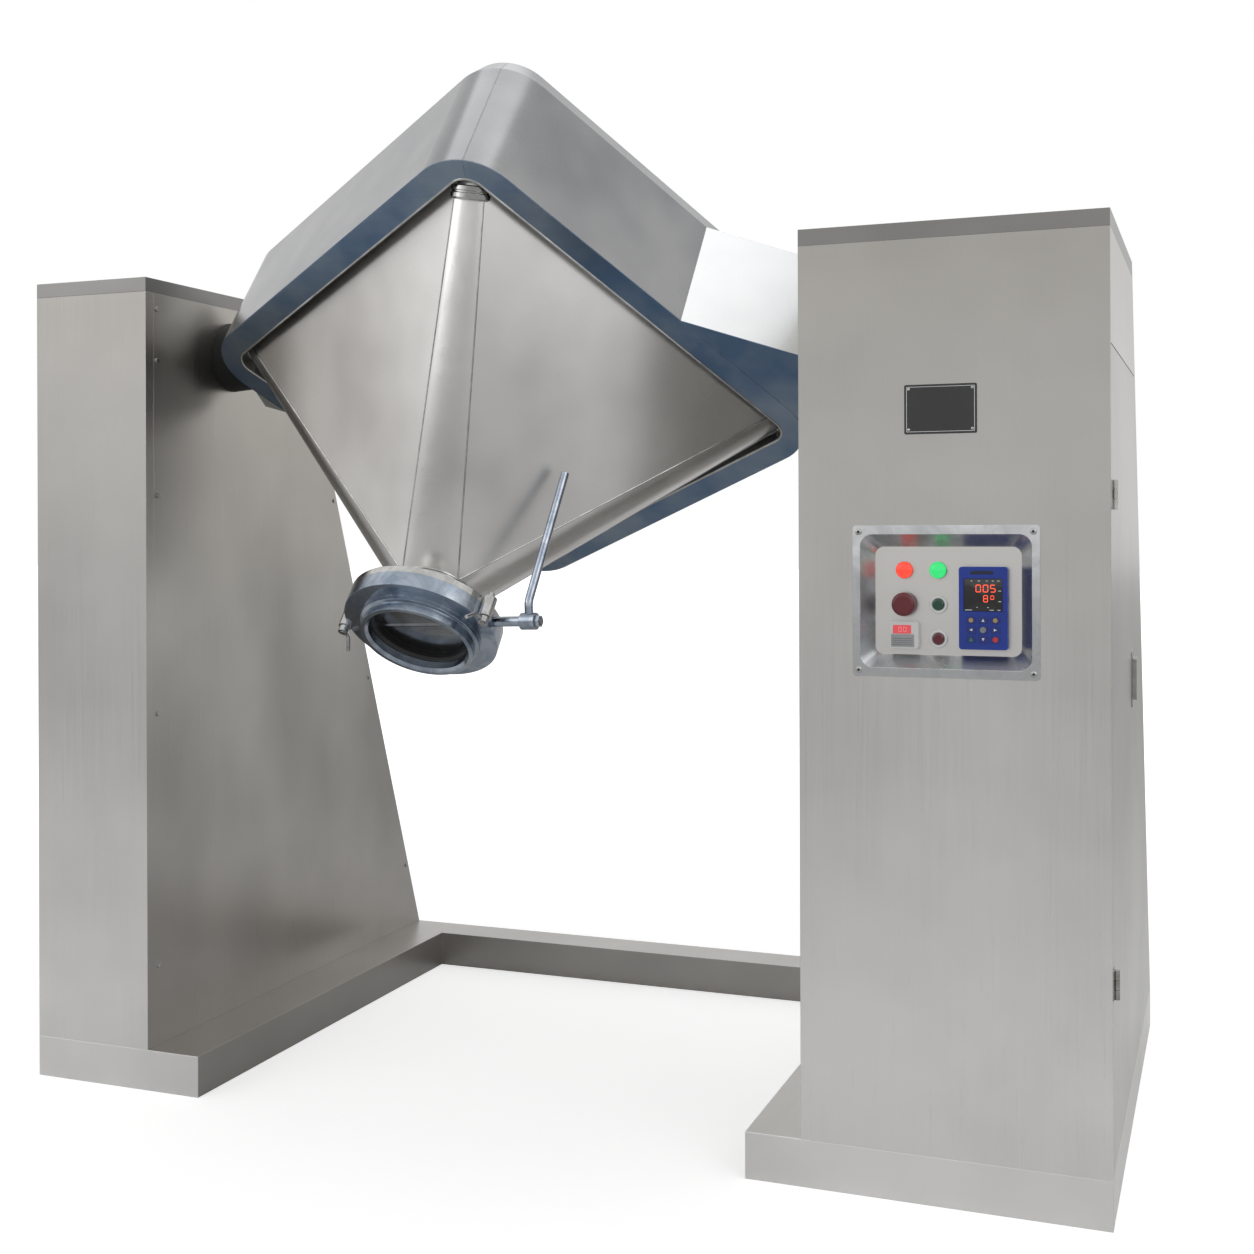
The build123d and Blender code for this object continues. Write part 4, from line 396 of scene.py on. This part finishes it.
def stamped(outline, place, out_mm, thick, bevel=0.15):
    """An outline (mm, listed left-turning) on the panel's plane, raised by a thickness, drawn
    in by a bevel and closed at its middle. It stands out_mm proud of the tray's floor."""
    outline = np.array(outline, float)
    middle = outline.mean(axis=0)
    rows = ((1.0, 0.0), (1.0, thick - bevel), (0.985, thick), (0.0, thick))
    flat = np.array([middle + (outline - middle) * share for share, _ in rows])
    height = np.array([rise for _, rise in rows])[:, None]
    base = on_panel(*place, out_mm)
    grid = np.zeros(flat.shape[:2] + (3,))
    grid[..., 0] = base.x + flat[..., 0] * MM
    grid[..., 1] = base.y - height * MM
    grid[..., 2] = base.z + flat[..., 1] * MM
    return grid


def rounded(width, height, corner=1.0, points=8):
    """The outline of a rectangle with round corners: a quarter circle at each corner."""
    angle = (np.arange(4 * points) + 0.5) * math.tau / (4 * points)
    around = np.stack([np.cos(angle), np.sin(angle)], 1)
    return np.sign(around) * (np.array([width, height]) / 2 - corner) + around * corner


def disc(radius, points=24):
    """The outline of a circle."""
    angle = np.linspace(0, math.tau, points, endpoint=False)
    return np.stack([np.cos(angle), np.sin(angle)], 1) * radius


def arrow(size, turn):
    """A triangle that points the way given by a turn in degrees."""
    angle = np.radians(turn + np.array([0, 135, 225]))
    return np.stack([np.cos(angle), np.sin(angle)], 1) * size * np.array([[0.8], [1], [1]])


# Which of a digit's seven bars are lit: top, two upper sides, middle, two lower sides, foot
LIT_BARS = {"0": "1110111", "5": "1101011", "8": "1111111"}


def digit(character, x, z, height, width, out_mm, stroke=1.3):
    """The lit bars of one figure, each a small slab."""
    side, rise = width / 2, height / 4
    spots = ((0, height / 2, 1), (-side, rise, 0), (side, rise, 0), (0, 0, 1),
             (-side, -rise, 0), (side, -rise, 0), (0, -height / 2, 1))
    bars = []
    for (dx, dz, level), lit in zip(spots, LIT_BARS[character]):
        if lit == "1":
            long = (width if level else height / 2) - 0.6 * stroke
            size = (long, stroke) if level else (stroke, long)
            bars.append(stamped(rounded(*size, 0.3, 2), (x + dx, z + dz), out_mm, 0.3))
    return bars


# The control panel: where its parts lie from its centre (x, z), and how far their faces stand
# out from the tray's floor, in mm
KEYPAD = (61, -11)
DISPLAY = (61, 11)
TIMER = (-72, -58)
RED_BUTTON = (-72, 52)
GREEN_BUTTON = (-15, 52)
LAMPS = ((-15, -6), (-15, -64))
PLATE_SCREWS = [(side * 145, rise * 117) for side in (-1, 1) for rise in (-1, 1)]
BUTTON_FACE = 6
KEYPAD_FACE = 14
KEY_FACE = KEYPAD_FACE + 1
KEY_ACROSS, KEY_DOWN = 20, 16
DISPLAY_FACE = 12.5
GLASS_FACE = DISPLAY_FACE + 0.5
TIMER_FACE = 12
WINDOW_FACE = TIMER_FACE + 0.5
PLATE_FACE = TRAY_DEPTH + 2
FILM = 0.3

# Profiles turned round an axis: radius and height in mm
SCREW_HEAD = [(5.6, 0), (5.6, 1.2), (4.8, 2.2), (2.6, 2.6), (0, 2.6)]
# The socket is a thin dark disc: painted shade for the recess.
SCREW_SOCKET_SHADE = [(2.5, 2.5), (2.4, 2.75), (0, 2.75)]
RIVET_HEAD = [(2.6, 0), (2.4, 0.7), (1.6, 1.3), (0, 1.5)]
LENS_DOME = [(0.0, 0.4), (13.9, 0.4), (14.2, 0.9), (14.2, 2.2), (13.4, 3.2), (11.6, 3.6),
             (11.0, 3.2), (10.4, 3.6), (8.0, 4.4), (4.0, 4.9), (0.0, 5.0)]
LAMP_RING = [(11.0, 2.5), (14.4, 2.5), (14.7, 3.4), (14.2, 4.4), (12.2, 4.8), (11.0, 4.2),
             (11.0, 2.5)]
CORNER_COLLAR = [(0, 2), (33, 2), (38.5, 4), (38.5, 11), (36.5, 12.5), (36.5, 15), (38.5, 16.5),
                 (38.5, 24), (36, 27), (0, 27)]
MOUTH_RING = [(84.6, 704.3), (90.8, 712.5), (90.9, 717), (88.5, 717.5), (84.6, 713),
              (84.6, 704.3)]

glass_black = coated("dark_display_glass", "0a0b0d", "060607", 0.12, 4, 0.02, coat=0.6)
red_light = coated("lit_red_figures", "ff5a3c", "ff4528", 0.4, 2, 0.05, glow=1.2)
white_print = coated("white_film_print", "e6e9ec", "d2d6da", 0.5, 1, 0.05)
grey_print = coated("grey_film_print", "8d9096", "777b81", 0.4, 1, 0.05)
green_print = coated("green_film_print", "2f8f52", "287a46", 0.4, 1, 0.05)
red_print = coated("red_film_print", "d93a30", "c02f28", 0.4, 1, 0.05)
gold_print = coated("gold_film_print", "b7a06a", "a08a58", 0.4, 1, 0.05)
lit_window = coated("lit_red_window", "e85c62", "dc474f", 0.25, 3, 0.05, glow=0.25, coat=0.3)

piece("display_glass", [stamped(rounded(63.4, 54.4, 1.5), DISPLAY, DISPLAY_FACE, 0.5)],
      "frame", "keypad_keys", glass_black)
figures = []
for order, character in enumerate("005"):
    figures += digit(character, DISPLAY[0] - 8 + 12 * order, DISPLAY[1] + 11, 11.5, 7.5,
                     GLASS_FACE)
figures += digit("8", DISPLAY[0] + 4, DISPLAY[1] - 6, 10.5, 6.5, GLASS_FACE)
figures += digit("0", DISPLAY[0] + 15, DISPLAY[1] - 4, 6, 5, GLASS_FACE, 1.1)
piece("display_figures", figures, "frame", "keypad_keys", red_light)
marks = [stamped(rounded(width, 1.3, 0.5, 3), (DISPLAY[0] + x, DISPLAY[1] + z), GLASS_FACE, FILM)
         for x, z, width in ((-19, 23.5, 3), (-7, 23.5, 4), (6, 23.5, 3), (16, 23.5, 3.5),
                             (25, 23.5, 4), (27, 7, 5), (27, -10.5, 5), (-10, -20.5, 2),
                             (8, -20.5, 3), (-24, -25, 12), (14, -25, 7), (26, -25, 5))]
piece("display_marks", marks, "frame", "keypad_keys", white_print)
piece("keypad_label_slot", [stamped(rounded(38, 6, 1), (KEYPAD[0] - 2, KEYPAD[1] + 59.5),
                                    KEYPAD_FACE, FILM)], "frame", "keypad_keys",
      coated("dark_blue_label", "101b3c", "0b142e", 0.3, 2, 0.05))


def key(column, row):
    """Where a key's middle lies, by its column (-1 to 1) and its row (0 to 2)."""
    return KEYPAD[0] + KEY_ACROSS * column, KEYPAD[1] - 20 - KEY_DOWN * row


white_keys = ((90, 0, 0), (180, -1, 1), (0, 1, 1), (270, 0, 2))
piece("keypad_white_marks", [stamped(arrow(3.4, turn), key(column, row), KEY_FACE, FILM)
                             for turn, column, row in white_keys],
      "frame", "keypad_keys", white_print)
piece("keypad_round_key", [stamped(disc(5.2), key(0, 1), KEY_FACE, 1.6, 0.5)],
      "frame", "keypad_keys", grey_print)
piece("keypad_gold_marks", [stamped(disc(3.8), key(column, 0), KEY_FACE, FILM)
                            for column in (-1, 1)], "frame", "keypad_keys", gold_print)
piece("keypad_green_mark", [stamped(arrow(4.6, 90), key(-1, 2), KEY_FACE, FILM)],
      "frame", "keypad_keys", green_print)
piece("keypad_red_mark", [stamped(disc(4.4), key(1, 2), KEY_FACE, FILM)],
      "frame", "keypad_keys", red_print)

window_place = (TIMER[0] - 3, TIMER[1] + 9.5)
film_place = (TIMER[0] - 2, TIMER[1] - 9.5)
piece("timer_window", [stamped(rounded(31, 14.5, 1), window_place, TIMER_FACE, 0.5)],
      "frame", "timer_case", lit_window)
timer_figures = []
for order in range(2):
    timer_figures += digit("0", TIMER[0] - 6 + 8 * order, window_place[1], 7.5, 4.5,
                           WINDOW_FACE, 0.9)
piece("timer_figures", timer_figures, "frame", "timer_case",
      coated("pale_red_figures", "f5a9a8", "ee9594", 0.4, 2, 0.05, glow=0.3))
piece("timer_keys_plate", [stamped(rounded(39, 21, 1), film_place, TIMER_FACE, 0.5)],
      "frame", "timer_case", coated("grey_timer_film", "a5a7a8", "96989a", 0.45, 1.5, 0.1))
piece("timer_lines", [stamped(rounded(34, 0.6, 0.25, 2), (film_place[0], film_place[1] + z),
                              WINDOW_FACE, 0.2) for z in (-7, -3.5, 0, 3.5)],
      "frame", "timer_case", coated("dark_timer_print", "55585a", "484b4d", 0.5, 1.5, 0.05))

piece("plate_screw_heads", [lathe(SCREW_HEAD, on_panel(*spot, PLATE_FACE), -BACK, 32)
                            for spot in PLATE_SCREWS], "frame", "screw_steel")
# A dark disc on each screw head stands for the socket: painted shade in the recess.
piece("plate_screw_socket_shades", [lathe(SCREW_SOCKET_SHADE, on_panel(*spot, PLATE_FACE), -BACK, 6)
                              for spot in PLATE_SCREWS], "frame", "screw_steel",
      coated("painted_socket_shade", "17181a", "101112", 0.6, 1.0))
piece("red_lens_dome", [lathe(LENS_DOME, on_panel(*RED_BUTTON, BUTTON_FACE), -BACK, 40)],
      "halt_button", "button_red")
piece("green_lens_dome", [lathe(LENS_DOME, on_panel(*GREEN_BUTTON, BUTTON_FACE), -BACK, 40)],
      "start_button", "button_green")
piece("lamp_rings", [lathe(LAMP_RING, on_panel(*place), -BACK, 40) for place in LAMPS],
      "frame", "bezel_steel",
      coated("moulded_white_ring", "e4e5e5", "d6d7d7", 0.3, 1.5, 0.05))

# Nameplate: a pale printed border and four rivets, with nothing written on it
NAMEPLATE_X, NAMEPLATE_Z = -6, 322
NAMEPLATE_FACE = TRAY_DEPTH + 1
BORDER_X, BORDER_Z = 56.5, 37.5
RIVET_X, RIVET_Z = 53, 34
border = [stamped(rounded(2 * BORDER_X, 0.9, 0.3, 2), (NAMEPLATE_X, NAMEPLATE_Z + side * BORDER_Z),
                  NAMEPLATE_FACE, 0.25) for side in (-1, 1)]
border += [stamped(rounded(0.9, 2 * BORDER_Z, 0.3, 2), (NAMEPLATE_X + side * BORDER_X, NAMEPLATE_Z),
                   NAMEPLATE_FACE, 0.25) for side in (-1, 1)]
piece("nameplate_border", border, "frame", "nameplate_black", white_print)
rivets = [on_panel(NAMEPLATE_X + side * RIVET_X, NAMEPLATE_Z + rise * RIVET_Z, NAMEPLATE_FACE)
          for side in (-1, 1) for rise in (-1, 1)]
piece("nameplate_rivets", [lathe(RIVET_HEAD, spot, -BACK, 24) for spot in rivets],
      "frame", "nameplate_black", finishes["screw_steel"])


# The vessel's welds, lips and collar
def square_path(half, corner, z, points=10):
    """Points round a square with round corners at one distance towards the outlet."""
    outline = rounded(2 * half, 2 * half, corner, points)
    return [in_vessel(x, y, z) for x, y in outline]


def cone_seam(start, finish, quarter, sign, tip):
    """A weld bead on a cone's side, from its foot to its neck, turned by quarter turns."""
    c, s = ((1, 0), (0, 1), (-1, 0), (0, -1))[quarter]
    share = np.linspace(0, 1, 12)
    x, y = [a + (b - a) * share for a, b in zip(start, finish)]
    height = sign * (FOOT + (tip - FOOT) * share)
    return bar([in_vessel(c * u - s * v, s * u + c * v, z) for u, v, z in zip(x, y, height)], 1.5)


weld = finishes["neck_steel"]
ARC_START = HALF_IN - CORNER_IN
TIP_ARC = 1.25
for end, sign, (tip, tip_r) in (("outlet", 1, NECK), ("feed", -1, FEED)):
    sides = (((HALF_IN, ARC_START), (tip_r, TIP_ARC)), ((ARC_START, HALF_IN), (TIP_ARC, tip_r)))
    piece(f"{end}_cone_seams", [cone_seam(start, finish, quarter, sign, tip)
                                for quarter in range(4) for start, finish in sides],
          "vessel", "cone_steel", weld)
    lip = square_path(HALF_IN + 1.5, CORNER_IN + 1.5, sign * (BAND_FACE - 1))
    piece(f"{end}_band_lip", [bar(lip, 2.6, closed=True)], "vessel", "band_steel", weld, loop=True)
    foot = square_path(HALF_IN - 1, CORNER_IN, sign * (FOOT + 1))
    piece(f"{end}_foot_weld", [bar(foot, 2.5, closed=True)], "vessel", "band_steel", weld,
          loop=True)

foot_point = in_vessel(ARC_START, ARC_START, FOOT)
strip = (in_vessel(TIP_ARC, TIP_ARC, NECK[0]) - foot_point).normalized()
piece("cone_corner_collar", [lathe(CORNER_COLLAR, foot_point, strip)], "vessel", "cone_steel", weld)
piece("mouth_black_ring", [lathe(MOUTH_RING, vessel_centre, outlet_dir, 96)],
      "vessel", "seal_black")
around_neck = [in_vessel(NECK[1] * math.cos(t), NECK[1] * math.sin(t), NECK[0] + 1)
               for t in np.linspace(0, math.tau, 64, endpoint=False)]
piece("neck_weld", [bar(around_neck, 2.4, closed=True)], "vessel", "neck_steel", loop=True)


# Camera, lights and floor
camera_data = bpy.data.cameras.new("camera")
camera_data.sensor_width = 36
camera_data.lens = 45.93
camera_data.shift_y = -0.078
camera_data.clip_end = 60
camera = bpy.data.objects.new("camera", camera_data)
camera.location = drawn(1387.5, -2982.4, 1134.8)
camera.rotation_euler = (math.radians(90), math.radians(0.2), math.radians(20.9))
bpy.context.scene.collection.objects.link(camera)
bpy.context.scene.camera = camera


def area_light(name, place, target, size, power, colour="ffffff"):
    """A soft square lamp that faces a point."""
    lamp = bpy.data.lights.new(name, "AREA")
    lamp.shape = "RECTANGLE"
    lamp.size, lamp.size_y = size
    lamp.energy = power
    lamp.color = linear(colour)[:3]
    facing = (Vector(target) - Vector(place)).to_track_quat("-Z", "Y")
    holder = bpy.data.objects.new(name, lamp)
    holder.matrix_world = Matrix.Translation(place) @ facing.to_matrix().to_4x4()
    bpy.context.scene.collection.objects.link(holder)


area_light("softbox_left", (-3.2, -3.6, 3.4), (0, 0, 0.9), (3.2, 3.2), 32)
area_light("softbox_right", (3.6, -2.4, 3.0), (0.4, 0, 0.9), (2.4, 3.0), 26)
area_light("softbox_top", (0, 0.4, 4.6), (0, 0, 0), (3.5, 3.0), 36)

# The background is white to the camera and in reflections, and lights the object less
AMBIENT = 0.55
world = bpy.data.worlds.new("studio")
bpy.context.scene.world = world
world.use_nodes = True
tree = world.node_tree
tree.nodes.clear()
rays = add(tree, "ShaderNodeLightPath").outputs
mirrored = add(tree, "ShaderNodeMath", {0: rays["Is Glossy Ray"], 1: rays["Is Transmission Ray"]},
               operation="MAXIMUM")
seen = add(tree, "ShaderNodeMath", {0: rays["Is Camera Ray"], 1: mirrored.outputs[0]},
           operation="MAXIMUM")
strength = add(tree, "ShaderNodeMapRange", {"Value": seen.outputs[0], "To Min": AMBIENT,
               "To Max": 1.0}).outputs["Result"]
sky = add(tree, "ShaderNodeBackground", {"Color": linear("ffffff"), "Strength": strength})
add(tree, "ShaderNodeOutputWorld", {"Surface": sky.outputs["Background"]})

# Near the machine the floor keeps its shadow; farther off it goes white, as a cyclorama does
NEAR, FAR = 1.5, 5.0
NEAR_LIFT, FAR_LIFT = 0.5, 0.95
floor_material, tree, out = blank("pale_studio_floor")
matt = add(tree, "ShaderNodeBsdfDiffuse", {"Color": linear("e4e4e4")})
place = add(tree, "ShaderNodeTexCoord").outputs["Object"]
away = add(tree, "ShaderNodeVectorMath", {0: place}, operation="LENGTH").outputs["Value"]
far_lift = add(tree, "ShaderNodeMapRange", {"Value": away, "From Min": NEAR, "From Max": FAR,
               "To Min": NEAR_LIFT, "To Max": FAR_LIFT}).outputs["Result"]
camera_ray = add(tree, "ShaderNodeLightPath").outputs["Is Camera Ray"]
camera_lift = add(tree, "ShaderNodeMath", {0: camera_ray, 1: far_lift}, operation="MULTIPLY")
lift = add(tree, "ShaderNodeEmission", {"Color": linear("ffffff"),
           "Strength": camera_lift.outputs[0]})
lit = add(tree, "ShaderNodeAddShader", {0: matt.outputs["BSDF"], 1: lift.outputs["Emission"]})
tree.links.new(lit.outputs["Shader"], out.inputs["Surface"])
floor_mesh = bpy.data.meshes.new("floor")
floor_mesh.from_pydata([(-40, -40, 0), (40, -40, 0), (40, 40, 0), (-40, 40, 0)], [], [(0, 1, 2, 3)])
floor_mesh.materials.append(floor_material)
floor = bpy.data.objects.new("floor", floor_mesh)
bpy.context.scene.collection.objects.link(floor)

bpy.context.scene.view_settings.view_transform = "Standard"
